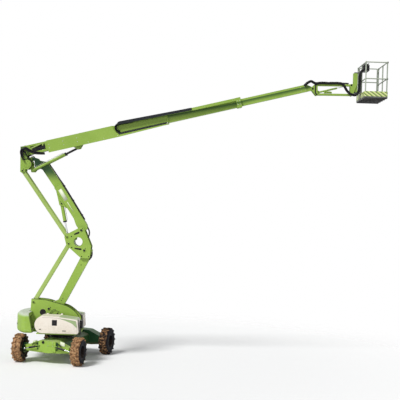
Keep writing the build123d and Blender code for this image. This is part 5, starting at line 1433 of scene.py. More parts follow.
# ---------------------------------------------------------------- turntable
@dataclass
class Turntable:
    """Pin ends, welds, the cowls' panels and trim, ground controls and counterweight fittings."""

    riser_foot: tuple[float, float] = RISER_FOOT
    tie_foot: tuple[float, float] = (-0.928, 1.817)
    port: tuple[float, float, float] = (-0.611, 1.5, 0.092)
    corner: tuple[float, float] = (-0.208, 1.43)
    corner_radius: float = 0.168
    cowl_out: float = 0.985
    panel: tuple[float, float] = (-0.116, 1.275)
    controls: tuple[float, float, float] = (0.735, -0.7, 1.2275)

    def side_plates(self) -> None:
        """Builds the pins' ends, port liners, backing of the triangle and the foot welds."""
        shape = Shape(MACHINE, Finish.LIME)
        for hand in (-1, 1):
            face = hand * PIN_OUT
            shape.pin_cap(*self.riser_foot, face, 0.035, 40)
            shape.pin_cap(*self.tie_foot, face, 0.025, -30)
            x, z, radius = self.port
            shape.paint(Finish.CONTROL)
            shape.boss([
                (0.0, radius + 0.006), (0.004, radius + 0.005), (0.004, radius - 0.006),
                (-0.022, radius - 0.01), (-0.024, 0.0),
            ], (x, hand * PLATE_OUT, z), 40)
            shape.paint(Finish.TIE).ring([
                (0.0, radius + 0.02), (0.003, radius + 0.018), (0.003, radius + 0.007), (0.0, radius + 0.007),
            ], (x, hand * PLATE_OUT, z), (0, hand, 0), 40)
            shape.paint(Finish.CONTROL)
            arc = arc_line(self.corner, self.corner_radius, hand * 0.213, (176, 155, 132, 110, 92))
            shape.hose(arc, 0.0085, 8)
            shape.slab([(-0.225, 1.388), (-0.11, 1.388), (-0.11, 1.545)], hand * 0.186, hand * 0.194, 0.0)
            shape.paint(Finish.LIME)
            for start, end in (((-0.8, 0.938), (0.61, 0.938)), ((-1.01, 1.385), (-0.988, 1.912))):
                y = hand * (PLATE_OUT + (0.001 if start[1] < 1 else -0.007))
                shape.weld((start[0], y, start[1]), (end[0], y, end[1]), 0.005)
            for x, z in ((-0.358, 1.432), (-0.208, 1.582), (-0.058, 1.432), (-0.1, 1.538)):
                shape.paint(Finish.BLACK_STEEL).bolt((x, hand * 0.234, z), (0, hand, 0), 0.007)
        shape.build("turntable_pins", "turntable", "green_paint")

    def edge_shade_strip(self) -> None:
        """Builds a dark strip along the top edge of the side plates, as painted shade along that edge."""
        shape = Shape(MACHINE, Finish.CONTROL)
        rim = [
            (-0.98, 1.917), (-0.533, 1.89), (-0.25, 1.824), (0.022, 1.757), (0.2, 1.695), (0.345, 1.6),
            (0.47, 1.49), (0.559, 1.354), (0.59, 1.2),
        ]
        for hand in (-1, 1):
            shape.hose([(x, hand * 0.2025, z) for x, z in rim], 0.0095, 8, 4)
        shape.build("side_plate_edge_shade", "turntable", "control_black")

    def cowl(self, place: str, hand: int) -> None:
        """Builds a cowl's louvred panel, handles, shoulder, crown and seam.

        Args:
            place: "right" or "left".
            hand: -1 for the right, 1 for the left.
        """
        shape = Shape(MACHINE, Finish.CONTROL)
        out = hand * self.cowl_out
        x, z = self.panel
        low, high = (out - 0.002, out + 0.003) if hand > 0 else (out - 0.003, out + 0.002)
        shape.plate((x, z), (0.078, 0.088), low, high)
        for k in range(7):
            c = z - 0.069 + 0.023 * k
            shape.plate((x, c), (0.066, 0.004), low + hand * 0.001, high + hand * 0.0015, 0.001)
        for a, c, half in ((0.19, 1.03, 0.055), (-0.56, 1.06, 0.03)):
            shape.plate((a, c), (half, 0.013), low, high)
        shape.paint(Finish.ZINC)
        shape.rod((0.17, out + hand * 0.004, 1.03), (0.22, out + hand * 0.004, 1.03), 0.004, 10, 0.001)
        shape.paint(Finish.BAND)
        shoulder = [
            (0.02, 1.41), (0.3, 1.384), (0.548, 1.345), (0.578, 1.2), (0.582, 1.13), (0.545, 1.16),
            (0.44, 1.26), (0.24, 1.345),
        ]
        shape.slab(shoulder, out - 0.0015, out + 0.0015, 0.0)
        crown = [(0.02, 1.456), (0.54, 1.395), (0.573, 1.384), (0.5985, 1.35)]
        crown += [(0.6025, 1.351), (0.577, 1.387), (0.541, 1.3985), (0.02, 1.4595)]
        inner, outer = sorted((hand * 0.4, hand * (self.cowl_out + 0.0005)))
        shape.slab(crown, inner, outer, 0.0)
        shape.paint(Finish.CONTROL)
        seam = [(-0.5, 1.43), (-0.1, 1.424), (0.3, 1.38), (0.55, 1.33), (0.582, 1.2), (0.59, 1.0)]
        shape.hose([(a, out + hand * 0.0005, c) for a, c in seam], 0.0022, 6, 5)
        shape.build(f"cowl_{place}_trim", f"cowl_{place}", "control_black")

    def control_box(self) -> None:
        """Builds the ground controls' face: stop button, toggles and key switch."""
        x, y, z = self.controls
        toggle = [(0, 0.008), (0.003, 0.008), (0.004, 0.0035), (0.009, 0.003), (0.011, 0.0)]
        shape = Shape(MACHINE, Finish.BLOCK)
        shape.plate((y, z), (0.095, 0.095), x - 0.001, x + 0.003, 0.001, Plane.CROSS)
        shape.paint(Finish.SIGNAL_RED)
        shape.turn([
            (0, 0.009), (0.004, 0.009), (0.005, 0.016), (0.009, 0.017), (0.013, 0.012), (0.014, 0.0),
        ], (x - 0.006, y + 0.06, z + 0.06), (1, 0, 0), 24)
        shape.paint(Finish.CONTROL)
        for row in range(3):
            for column in range(4):
                if (row, column) != (2, 3):
                    place = (x - 0.003, y - 0.066 + 0.034 * column, z - 0.066 + 0.04 * row)
                    shape.turn(toggle, place, (1, 0, 0), 12)
        shape.paint(Finish.ZINC)
        shape.turn([(0, 0.011), (0.004, 0.01), (0.004, 0.0)], (x + 0.001, y - 0.07, z + 0.072), (1, 0, 0), 20)
        shape.build("ground_control_face", "turntable", "control_black")

    def counterweight(self) -> None:
        """Builds the counterweight's rear plugs and lifting sockets."""
        shape = Shape(MACHINE, Finish.CONTROL)
        for y in (-0.56, 0.56):
            shape.turn([
                (-0.004, 0.028), (0.004, 0.026), (0.004, 0.018), (-0.002, 0.014), (-0.002, 0.0),
            ], (-1.352, y, 1.165), (-0.93, y * 0.65, 0), 24)
        shape.paint(Finish.ZINC)
        for y in (-0.36, 0.36):
            shape.rod((-1.03, y, 1.528), (-1.03, y, 1.536), 0.045, 24, 0.002)
            shape.rod((-1.03, y, 1.534), (-1.03, y, 1.538), 0.02, 24, 0.001)
        shape.build("counterweight_fittings", "turntable", "control_black")

    def hoses(self) -> None:
        """Builds the hoses rising from the turntable into the lower riser."""
        shape = Shape(MACHINE, Finish.HOSE)
        for k in range(4):
            y = -0.095 + 0.052 * k
            shape.hose([
                (-0.6 + 0.03 * k, y, 0.934), (-0.61 + 0.03 * k, y, 1.1), (-0.54, y, 1.28),
                (-0.4, y * 0.9, 1.38), (-0.24, y * 0.9, 1.47), (-0.1, y * 0.9, 1.62),
            ], 0.014, 10)
        shape.span("turntable_hoses", ("turntable", "riser_lower"))

    def build(self) -> None:
        """Builds every fitting of the turntable."""
        self.side_plates()
        self.edge_shade_strip()
        for place, hand in (("right", -1), ("left", 1)):
            self.cowl(place, hand)
        self.control_box()
        self.counterweight()
        self.hoses()


# ---------------------------------------------------------------- risers
@dataclass
class Risers:
    """Both riser stages: pin ends, corner welds, hoses with clamps, a blank plate and plugs."""

    foot: tuple[float, float] = RISER_FOOT
    top: tuple[float, float] = (0.645, 3.511)
    upper_foot: tuple[float, float] = (0.531, 4.155)
    head: tuple[float, float] = (-0.96, 6.232)
    half: float = 0.13
    tongue: float = 0.045
    ram_foot: tuple[float, float] = (-0.149, 4.987)
    tie_pins: tuple[tuple[float, float], ...] = ((0.142, 3.711), (0.084, 3.923))
    slots: tuple[tuple[float, float, float, float], ...] = (
        (0.388, 4.047, 0.095, 24), (0.448, 3.556, 0.115, -7),
    )
    port: tuple[float, float, float] = (0.444, 3.783, 0.14)
    hoses: tuple[float, float, int] = (-0.075, 0.05, 4)

    def welded_box(self, shape: Shape, corners: Outline, half: float) -> None:
        """Runs a weld along each corner of a box beam.

        Args:
            shape: Shape in the beam's axes.
            corners: Corners of the beam's side outline.
            half: Half of its width.
        """
        for start, end in zip(corners, corners[1:]):
            for hand in (-1, 1):
                y = hand * (half - 0.001)
                shape.weld((start[0], y, start[1]), (end[0], y, end[1]), 0.0045)

    def lower(self) -> None:
        """Builds the lower riser's welds and plugs."""
        axes = line_axes(self.foot, self.top)
        shape = Shape(axes, Finish.LIME)
        self.welded_box(
            shape, [(-0.06, -0.06), (0.19, -0.33), (0.5, -0.338), (2.0, -0.276), (2.12, -0.252)], self.half,
        )
        self.welded_box(shape, [(0.18, 0.05), (0.38, -0.112), (1.95, -0.012)], self.half)
        shape.paint(Finish.CONTROL)
        for a, c in ((0.42, -0.205), (0.5, -0.205), (1.72, -0.15)):
            for hand in (-1, 1):
                shape.boss([
                    (-0.003, 0.015), (0.003, 0.014), (0.004, 0.006), (0.001, 0.004), (0.001, 0.0),
                ], (a, hand * self.half, c), 16)
        shape.build("riser_lower_welds", "riser_lower", "green_paint")

    def knuckle(self) -> None:
        """Builds the middle knuckle's pin ends, black slabs over the slots as painted shade, port lips and
        bolts.
        """
        shape = Shape(MACHINE, Finish.LIME)
        for hand in (-1, 1):
            face = hand * PIN_OUT
            for x, z in (self.top, self.upper_foot):
                shape.pin_cap(x, z, face, 0.035, 60)
            for x, z in self.tie_pins:
                shape.pin_cap(x, z, face, 0.025, 150)
            for x, z, half, lean in self.slots:
                turn = radians(lean)
                corners = [
                    (-half, -0.012), (-half * 0.4, -0.026), (half * 0.7, -0.03), (half, 0.004),
                    (half * 0.8, 0.03), (-half * 0.6, 0.022), (-half, 0.008),
                ]
                plate = [
                    (x + a * cos(turn) - c * sin(turn), z + a * sin(turn) + c * cos(turn))
                    for a, c in corners
                ]
                low, high = sorted((hand * 0.192, hand * (PLATE_OUT + 0.002)))
                # Painted shade: black slabs fill the slots and their rims, standing in for the shade inside.
                shape.paint(Finish.CONTROL).slab(plate, low, high, 0.001)
            shape.paint(Finish.LIME)
            x, z, radius = self.port
            shape.ring([
                (-0.001, radius + 0.016), (0.005, radius + 0.014), (0.006, radius + 0.004), (0.002, radius),
                (-0.001, radius),
            ], (x, hand * PLATE_OUT, z), (0, hand, 0), 48)
            for x, z in ((0.222, 3.944), (0.243, 3.593), (0.568, 3.312), (0.792, 3.312)):
                shape.paint(Finish.CONTROL).boss([
                    (-0.002, 0.02), (0.003, 0.019), (0.004, 0.012), (0.004, 0.0),
                ], (x, hand * PLATE_OUT, z), 16)
        shape.build("knuckle_mid_pins", "knuckle_mid", "green_paint")
        loop = Shape(MACHINE, Finish.HOSE)
        line = [
            (0.79, 1, 3.2), (0.862, 1, 3.31), (0.868, 1, 3.47), (0.8, 1, 3.64), (0.7, 1, 3.74),
            (0.64, 1, 3.8),
        ]
        loop.strands(line, 0.016, *self.hoses)
        loop.span("knuckle_lower_hoses", ("riser_lower", "knuckle_mid"))
        upper = Shape(MACHINE, Finish.HOSE)
        line = [
            (0.64, 1, 3.8), (0.69, 1, 3.87), (0.752, 1, 3.96), (0.77, 1, 4.06), (0.755, 1, 4.15),
            (0.7, 1, 4.26),
        ]
        upper.strands(line, 0.014, *self.hoses)
        upper.span("knuckle_upper_hoses", ("knuckle_mid", "riser_upper"))

    def upper(self) -> None:
        """Builds the upper riser's welds, blank plate, pale strip, ear caps and hoses."""
        axes = line_axes(self.upper_foot, self.head)
        length = hypot(self.head[0] - self.upper_foot[0], self.head[1] - self.upper_foot[1])
        neck = length - 0.94
        shape = Shape(axes, Finish.LIME)
        self.welded_box(shape, [(-0.075, -0.18), (0.06, -0.232), (neck, -0.29)], self.half)
        self.welded_box(shape, [(0.2, 0.062), (0.45, -0.002), (neck, -0.03)], self.half)
        self.welded_box(shape, [(neck, -0.29), (length - 0.13, -0.292), (length + 0.06, -0.11)], self.tongue)
        for hand in (-1, 1):
            shape.weld(
                (neck + 0.001, hand * self.half, -0.288), (neck + 0.001, hand * self.half, -0.032), 0.0045,
            )
        shape.paint(Finish.PLATE)
        for hand in (-1, 1):
            low, high = sorted((hand * (self.half - 0.001), hand * (self.half + 0.002)))
            shape.slab([(1.07, -0.185), (1.47, -0.205), (1.47, -0.085), (1.07, -0.065)], low, high, 0.001)
            shape.slab([(0.64, -0.122), (1.01, -0.132), (1.01, -0.112), (0.64, -0.104)], low, high, 0.0008)
            shape.paint(Finish.ZINC)
            for a, c in ((1.085, -0.172), (1.085, -0.08), (1.455, -0.19), (1.455, -0.1)):
                shape.boss([
                    (-0.001, 0.006), (0.003, 0.005), (0.004, 0.0),
                ], (a, hand * (self.half + 0.001), c), 10)
            shape.paint(Finish.PLATE)
        shape.build("riser_upper_welds", "riser_upper", "green_paint")
        caps = Shape(MACHINE, Finish.LIME)
        for hand in (-1, 1):
            caps.pin_cap(*self.ram_foot, hand * 0.085, 0.025, 120)
        caps.build("riser_ram_pins", "riser_upper", "green_paint")
        hoses = Shape(axes, Finish.HOSE)
        line = [
            (0.23, 1, -0.262), (0.6, 1, -0.278), (1.0, 1, -0.296), (1.4, 1, -0.312), (neck - 0.02, 1, -0.318),
        ]
        line += [(neck + 0.2, 0.42, -0.318), (length - 0.5, 0.42, -0.318), (length - 0.2, 0.42, -0.316)]
        hoses.strands(line, 0.013, *self.hoses, 4)
        for a, c in ((0.4, -0.245), (0.95, -0.27), (1.5, -0.289)):
            hoses.paint(Finish.BLACK_STEEL).block(
                (a - 0.018, -0.105, c - 0.05), (a + 0.018, 0.105, c - 0.044), 0.002,
            )
            for y in (-0.098, 0.098):
                hoses.block((a - 0.015, y - 0.006, c - 0.047), (a + 0.015, y + 0.006, c + 0.008), 0.002)
            hoses.paint(Finish.HOSE)
        hoses.build("riser_upper_hoses", "riser_upper", "hose_rubber")

    def ram(self) -> None:
        """Builds the riser ram's gland, port blocks and pipe."""
        shape = Shape(line_axes(self.ram_foot, self.tie_pins[1]), Finish.BLACK_STEEL)
        shape.turn([
            (0, 0.05), (0, 0.062), (0.006, 0.064), (0.038, 0.064), (0.044, 0.06), (0.044, 0.034),
        ], (0.566, 0, 0), (1, 0, 0), 32)
        shape.paint(Finish.ZINC)
        for a in (0.085, 0.54):
            shape.block((a - 0.022, -0.022, 0.05), (a + 0.022, 0.022, 0.078), 0.004)
        shape.hose([
            (0.085, 0, 0.074), (0.12, 0, 0.084), (0.3, 0, 0.084), (0.5, 0, 0.084), (0.54, 0, 0.074),
        ], 0.007, 8)
        shape.build("riser_ram_fittings", "riser_ram_barrel", "green_paint")

    def build(self) -> None:
        """Builds every fitting of the risers."""
        self.lower()
        self.knuckle()
        self.upper()
        self.ram()


# ---------------------------------------------------------------- top knuckle
@dataclass
class TopKnuckle:
    """Head of the risers: pin ends, boss bolts, hose loops and the luff rams' glands."""

    pivot: tuple[float, float] = BOOM_PIVOT
    tie_head: tuple[float, float] = (-1.407, 6.0)
    boss: tuple[float, float] = (-1.277, 6.213)
    luff_foot: tuple[float, float] = (-1.092, 6.02)
    luff_eye: tuple[float, float] = (1.683, -0.215)
    luff_y: float = 0.114

    def pins(self) -> None:
        """Builds the pin ends and the boss plates of the knuckle, with a dark arc round each boss and thin
        dark-green cheeks as painted shade.
        """
        shape = Shape(MACHINE, Finish.LIME)
        x, z = self.boss
        for hand in (-1, 1):
            shape.pin_cap(*self.pivot, hand * PIN_OUT, 0.04, -60)
            shape.pin_cap(*self.tie_head, hand * PIN_OUT, 0.025, 60)
            shape.paint(Finish.LIME)
            shape.boss([
                (-0.001, 0.118), (0.004, 0.116), (0.006, 0.108), (0.006, 0.0),
            ], (x, hand * PLATE_OUT, z), 40)
            # Painted shade: a dark arc round each boss stands in for the shade along the plate's edge.
            rim = arc_line(self.boss, 0.162, hand * (PLATE_OUT + 0.002), (-62, -35, -8, 20, 48, 76, 104, 128))
            shape.paint(Finish.CONTROL).hose(rim, 0.012, 8)
            shape.paint(Finish.LIME).bolt_circle(
                (x, hand * (PLATE_OUT + 0.006), z), hand, 0.092, 6, 0.008, 0.3,
            )
        # Painted shade: thin dark-green cheeks stand in for the shade inside the knuckle.
        shaded_cheek = [
            (-1.145, 6.455), (-0.932, 6.398), (-0.853, 6.29), (-0.882, 6.152), (-1.0, 6.0), (-1.036, 6.135),
            (-1.057, 6.334), (-1.132, 6.334),
        ]
        for hand in (-1, 1):
            inner, outer = sorted((hand * 0.063, hand * 0.0655))
            shape.paint(Finish.SHADED_LIME).slab(shaded_cheek, inner, outer, 0.0)
        shape.build("knuckle_top_pins", "knuckle_top", "green_paint")

    def hose_loops(self) -> None:
        """Builds the hose loops from the riser's head to the boom."""
        still = Shape(MACHINE, Finish.HOSE)
        line = [
            (-1.03, 1, 6.37), (-1.1, 1, 6.47), (-1.23, 1, 6.49), (-1.34, 2, 6.44), (-1.42, 3, 6.43),
            (-1.445, 3, 6.5), (-1.446, 3, 6.64),
        ]
        still.strands(line, 0.013, -0.034, 0.017, 5)
        loose = Shape(MACHINE, Finish.HOSE)
        for k in range(7):
            swell = 0.03 * (k % 3 - 1)
            y = -0.24 - 0.018 * (k % 4)
            loose.hose([
                (-1.372 - swell * 0.6, y, 6.335), (-1.42 + swell * 0.4, y - 0.006, 6.45),
                (-1.44 + swell, y - 0.01, 6.58), (-1.405 + swell, y - 0.012, 6.69 + swell * 0.6),
                (-1.3, y - 0.012, 6.706 + swell), (-1.18, y - 0.01, 6.64 + swell),
                (-1.02, y - 0.006, 6.585 + swell), (-0.86, y, 6.57 + swell * 0.8),
                (-0.705, y + 0.01, 6.566 + swell * 0.5),
            ], 0.021, 10)
        loose.span("boom_foot_hoses", ("knuckle_top", "boom_outer"))
        for k in range(3):
            y = -0.232 - 0.014 * k
            still.hose([
                (-1.42, y, 6.64), (-1.33, y, 6.56), (-1.27, y, 6.46), (-1.19, y, 6.39),
                (-1.11, y, 6.3 - 0.02 * k),
            ], 0.014, 10)
        still.build("knuckle_top_hoses", "knuckle_top", "hose_rubber")
        swing = Shape(MACHINE, Finish.HOSE)
        line = [
            (-1.446, 1, 6.64), (-1.444, 1, 6.73), (-1.39, 0.9, 6.79), (-1.3, 0.85, 6.8), (-1.19, 0.8, 6.815),
        ]
        swing.strands(line, 0.013, -0.102, 0.051, 5)
        swing.span("boom_pivot_hoses", ("knuckle_top", "boom_outer"))

    def luff_rams(self) -> None:
        """Builds the luff rams' glands, port blocks and pipes."""
        eye = BOOM.at(self.luff_eye[0], 0, self.luff_eye[1])
        for hand in (-1, 1):
            axes = line_axes(self.luff_foot, (eye.x, eye.z), hand * self.luff_y)
            shape = Shape(axes, Finish.BLACK_STEEL)
            shape.turn([
                (0, 0.034), (0, 0.046), (0.005, 0.048), (0.04, 0.048), (0.046, 0.044), (0.046, 0.029),
            ], (1.15, 0, 0), (1, 0, 0), 28)
            shape.paint(Finish.ZINC)
            for a in (0.11, 1.11):
                shape.block((a - 0.018, -0.018, 0.036), (a + 0.018, 0.018, 0.058), 0.003)
            shape.hose([
                (0.11, 0, 0.055), (0.14, 0, 0.064), (0.6, 0, 0.064), (1.08, 0, 0.064), (1.11, 0, 0.055),
            ], 0.006, 8)
            shape.build(
                f"luff_ram_fittings_{'left' if hand > 0 else 'right'}", "luff_ram_barrels", "green_paint",
            )

    def build(self) -> None:
        """Builds every fitting of the top knuckle."""
        self.pins()
        self.hose_loops()
        self.luff_rams()


# ---------------------------------------------------------------- boom
@dataclass
class Boom:
    """Telescopic boom: hose chain links, wear pads, collar screws, guard bolts and welds."""

    half: float = 0.11
    low: float = -0.095
    high: float = 0.215
    rear: float = 0.74
    front: float = 4.684
    guard: float = 0.242
    bend: tuple[float, float] = (3.102, 0.113)
    bend_radius: float = 0.148
    tail: float = 0.5
    chain: float = 0.062
    chain_in: float = 0.132
    chain_out: float = 0.218
    pitch: float = 0.058
    mid_front: float = 7.092
    channel_out: float = 0.228
    collar_out: float = 0.12
    run_start: float = 1.96

    def outer(self) -> None:
        """Builds the outer box's corner welds, levelling links, rear hoses, bolts and front pads."""
        shape = Shape(BOOM, Finish.LIME)
        for hand in (-1, 1):
            for w in (self.low + 0.001, self.high - 0.001):
                shape.weld(
                    (self.rear, hand * (self.half - 0.001), w),
                    (self.front - 0.01, hand * (self.half - 0.001), w), 0.004,
                )
        shape.paint(Finish.TIE)
        shape.slab([
            (0.19, 0.07), (0.21, 0.062), (0.545, 0.138), (0.56, 0.165), (0.54, 0.178), (0.2, 0.1),
        ], -0.178, -0.164, 0.003)
        shape.slab([(0.56, 0.1), (0.6, 0.08), (0.64, 0.175), (0.61, 0.19)], -0.178, -0.166, 0.003)
        shape.paint(Finish.HOSE)
        for k in range(8):
            w = -0.006 + 0.023 * k
            for y in (-0.052, 0.0, 0.052):
                shape.hose([
                    (0.2, y, w + 0.004), (0.36, y * 1.1, w + 0.01 * ((k % 3) - 1)), (0.52, y, w + 0.006),
                    (0.7, y, w),
                ], 0.015, 8, 3)
        lip = [(3.042, -0.112), (self.front, -0.102), (self.front, -0.061), (3.042, -0.076)]
        shape.paint(Finish.CHAIN).slab(lip, -self.guard - 0.0035, -self.guard + 0.001, 0.001)
        shape.paint(Finish.LIME)
        back, ahead = self.front - 0.05, self.front + 0.004
        for low, high in ((self.high, self.high + 0.012), (self.low - 0.012, self.low)):
            shape.block((back, -self.half - 0.006, low), (ahead, self.half + 0.006, high))
        for y in (-1, 1):
            low, high = sorted((y * self.half, y * (self.half + 0.01)))
            shape.block((back, low, self.low - 0.006), (ahead, high, self.high + 0.006))
        shape.paint(Finish.CONTROL)
        shape.block((self.front - 0.04, -0.08, 0.1965), (self.front + 0.01, 0.08, 0.21), 0.002)
        shape.block((self.front - 0.04, -0.08, -0.0905), (self.front + 0.01, 0.08, -0.0785), 0.002)
        shape.paint(Finish.ZINC)
        for a in (self.front - 0.036, self.front - 0.012):
            for y in (-0.06, 0.0, 0.06):
                shape.bolt((a, y, self.high + 0.012), (0, 0, 1), 0.006)
                shape.bolt((a, y, self.low - 0.012), (0, 0, -1), 0.006)
        for u in (0.796, 1.256, 1.706):
            for w in (-0.04, 0.08):
                shape.bolt((u, -self.guard - 0.003, w), (0, -1, 0), 0.008)
        for u in (2.05, 2.55, 3.0, 3.5, 4.0, 4.5):
            shape.bolt((u, -self.guard - 0.003, -0.132), (0, -1, 0), 0.007)
        shape.paint(Finish.PLATE)
        shape.boss([
            (0, 0.026), (0.003, 0.026), (0.005, 0.023), (0.005, 0.0),
        ], (self.front - 0.04, -self.guard - 0.003, -0.092), 24)
        shape.paint(Finish.CONTROL)
        shape.boss([
            (0, 0.013), (0.009, 0.012), (0.01, 0.0),
        ], (self.front - 0.04, -self.guard - 0.003, -0.092), 16)
        shape.build("boom_outer_fittings", "boom_outer", "green_paint")

    def link(self, shape: Shape, place: Vector, way: Vector) -> None:
        """Adds one link of the hose chain.

        Args:
            shape: Shape in the boom's axes.
            place: Middle of the link, in those axes.
            way: Its direction along the chain.
        """
        up = Vector((0, 1, 0)).cross(way) * -1
        was = shape.axes
        origin = was.at(*place)
        shape.axes = Axes(origin, was.way(*way), was.side, was.way(*up))
        reach, rise = self.pitch * 0.5, self.chain * 0.5
        outline = [
            (-reach, -rise * 0.75), (-reach * 0.7, -rise), (reach * 0.7, -rise), (reach, -rise * 0.75),
            (reach, rise * 0.75), (reach * 0.7, rise), (-reach * 0.7, rise), (-reach, rise * 0.75),
        ]
        middle = (self.chain_in + self.chain_out) / 2
        for near, far in (
            (-self.chain_out, -self.chain_out + 0.009), (-self.chain_in - 0.009, -self.chain_in),
        ):
            shape.slab(outline, near + middle, far + middle, 0.0015)
        for side in (-1, 1):
            low, high = sorted((side * rise, side * (rise - 0.007)))
            shape.block(
                (-reach * 0.45, -self.chain_out + middle + 0.004, low),
                (reach * 0.45, -self.chain_in + middle - 0.004, high), 0.002, 1,
            )
        shape.boss([(0, 0.012), (0.002, 0.011), (0.002, 0.0)], (0, -self.chain_out + middle, 0), 12)
        shape.axes = was

    def hose_chain(self) -> None:
        """Builds the chain's links along its tail, bend and lower run, and the hoses inside."""
        middle = -(self.chain_in + self.chain_out) / 2
        radius = self.bend_radius - self.chain / 2
        shape = Shape(BOOM, Finish.CHAIN)
        places: list[tuple[Vector, Vector]] = []
        steps = int(self.tail / self.pitch)
        for k in range(steps, 0, -1):
            u = self.bend[0] + self.pitch * (k - 0.5)
            places.append(
                (Vector((u, middle, self.bend[1] + radius - (u - self.bend[0]) / 30)), Vector((-1, 0, 0)))
            )
        arc = int(pi * radius / self.pitch)
        for k in range(arc):
            turn = pi / 2 + pi * (k + 0.5) / arc
            places.append(
                (
                    Vector((self.bend[0] + cos(turn) * radius, middle, self.bend[1] + sin(turn) * radius)),
                    Vector((-sin(turn), 0, cos(turn))),
                )
            )
        for place, way in places:
            self.link(shape, place, way)
        shape.paint(Finish.HOSE)
        for k in range(3):
            y = middle - 0.022 + 0.022 * k
            shape.hose([(p.x, y, p.z) for p, _ in places[::2]], 0.01, 8, 4)
        shape.build("hose_chain_links", "hose_chain_bend", "chain_plastic")
        run = Shape(BOOM, Finish.CHAIN)
        low = -0.12 + self.chain / 2 + 0.002
        for k in range(int((self.front - 0.06 - self.run_start) / self.pitch)):
            self.link(run, Vector((self.run_start + self.pitch * (k + 0.5), middle, low)), Vector((1, 0, 0)))
        run.build("hose_chain_run", "boom_outer", "chain_plastic")

    def middle_section(self) -> None:
        """Builds the collar's screws and pads, and the channel's screws and dark cover."""
        shape = Shape(BOOM, Finish.CONTROL)
        shape.paint(Finish.ZINC)
        columns = (self.mid_front - 0.115, self.mid_front - 0.04)
        for w, hand in ((0.225, 1), (-0.096, -1)):
            for u in columns:
                for y in (-0.06, 0.0, 0.06):
                    shape.bolt((u, y, w), (0, 0, hand), 0.008)
        for u in columns:
            for w in (0.0, 0.12):
                shape.bolt((u, -self.channel_out, w), (0, -1, 0), 0.008)
                shape.bolt((u, self.collar_out, w), (0, 1, 0), 0.008)
        for k in range(5):
            shape.bolt((5.62 + 0.3 * k, -self.channel_out, 0.18), (0, -1, 0), 0.005)
        out, end = -self.channel_out, 5.5
        top = [(3.066, 0.236), (3.078, 0.266), (3.104, 0.292), (3.152, 0.3045), (end, 0.2265)]
        shape.paint(Finish.CHAIN).slab([*top, (end, 0.146), (3.066, 0.2155)], out - 0.0025, out + 0.0005, 0.0)
        shape.slab([*top, *[(u, w + 0.004) for u, w in reversed(top)]], out - 0.0025, out + 0.1055, 0.0)
        shape.paint(Finish.CONTROL)
        shape.block((self.mid_front - 0.02, -0.066, 0.1775), (self.mid_front + 0.006, 0.066, 0.186), 0.002)
        shape.block((self.mid_front - 0.02, -0.066, -0.0705), (self.mid_front + 0.006, 0.066, -0.0625), 0.002)
        shape.build("boom_mid_fittings", "boom_mid", "green_paint")

    def inner(self) -> None:
        """Builds the tip's bolts and end welds."""
        shape = Shape(BOOM, Finish.LIME)
        for u in (9.06, 9.2):
            for w in (0.0, 0.11):
                for hand in (-1, 1):
                    shape.paint(Finish.ZINC).bolt((u, hand * 0.075, w), (0, hand, 0), 0.007)
        shape.paint(Finish.LIME)
        for hand in (-1, 1):
            shape.weld((9.242, hand * 0.052, -0.045), (9.242, hand * 0.052, 0.165), 0.006)
        shape.build("boom_tip_fittings", "boom_inner", "green_paint")

    def build(self) -> None:
        """Builds every fitting of the boom."""
        self.outer()
        self.hose_chain()
        self.middle_section()
        self.inner()


# ---------------------------------------------------------------- jib
@dataclass(frozen=True)
class HoseRun:
    """One length of the jib's hose bundle, with its points in side view and their step aside."""

    name: str
    bodies: tuple[str, ...]
    line: tuple[tuple[float, float, float], ...]
    start: tuple[float, float] = (0.0, 0.0)
    end: tuple[float, float] = (0.0, 0.0)
    straps: tuple[tuple[float, float], ...] = ()
    strap_way: Point = (1, 0, 0)
    twist: float = 1.2


HOSE_RUNS = (
    HoseRun(
        "boom_tip_hoses", ("boom_inner", "jib_base"),
        (
            (7.53, 0, 9.01), (7.6, 0, 9.085), (7.67, 0, 9.135), (7.74, 0, 9.16), (7.8, 0, 9.14),
            (7.85, 0, 9.11),
        ),
        (7.62, 9.09), (7.8, 9.14), ((7.62, 9.1),), (0.8, 0, 0.6),
    ),
    HoseRun(
        "jib_foot_hoses", ("jib_base", "jib_upper_arm"),
        ((7.85, 0, 9.11), (7.89, 0, 9.098), (7.93, 0, 9.102), (7.98, 0, 9.112), (8.03, 0, 9.118)),
        (7.86, 9.1), (8.0, 9.11),
    ),
    HoseRun(
        "jib_arm_hoses", ("jib_upper_arm",),
        (
            (8.03, 0, 9.118), (8.15, 0, 9.124), (8.28, 0, 9.118), (8.43, 0, 9.126),
            (8.57, 0, 9.13), (8.68, 0, 9.126), (8.76, -0.004, 9.1), (8.8, -0.01, 9.062),
        ),
        straps=((8.1, 9.122), (8.36, 9.122), (8.62, 9.122)),
    ),
    HoseRun(
        "jib_droop_hoses", ("jib_upper_arm", "jib_post"),
        (
            (8.8, -0.01, 9.062), (8.83, -0.014, 9.0), (8.88, -0.018, 8.92),
            (8.94, -0.02, 8.85), (9.01, -0.018, 8.795), (9.08, -0.01, 8.768),
        ),
        (8.82, 9.03), (9.0, 8.8), twist=0.6,
    ),
    HoseRun(
        "basket_turn_hoses", ("jib_post", "basket"),
        (
            (9.08, -0.01, 8.768), (9.15, 0, 8.76), (9.215, 0, 8.79), (9.262, 0, 8.86),
            (9.29, 0, 8.96), (9.296, 0, 9.1), (9.298, 0, 9.24),
        ),
        (9.1, 8.8), (9.25, 8.84), twist=0.6,
    ),
    HoseRun(
        "basket_side_hoses", ("basket",),
        ((9.298, 0, 9.24), (9.302, 0, 9.36), (9.32, 0, 9.46), (9.36, 0.01, 9.54), (9.42, 0.03, 9.58)),
        straps=((9.299, 9.3),), strap_way=(0, 0, 1), twist=0.6,
    ),
)


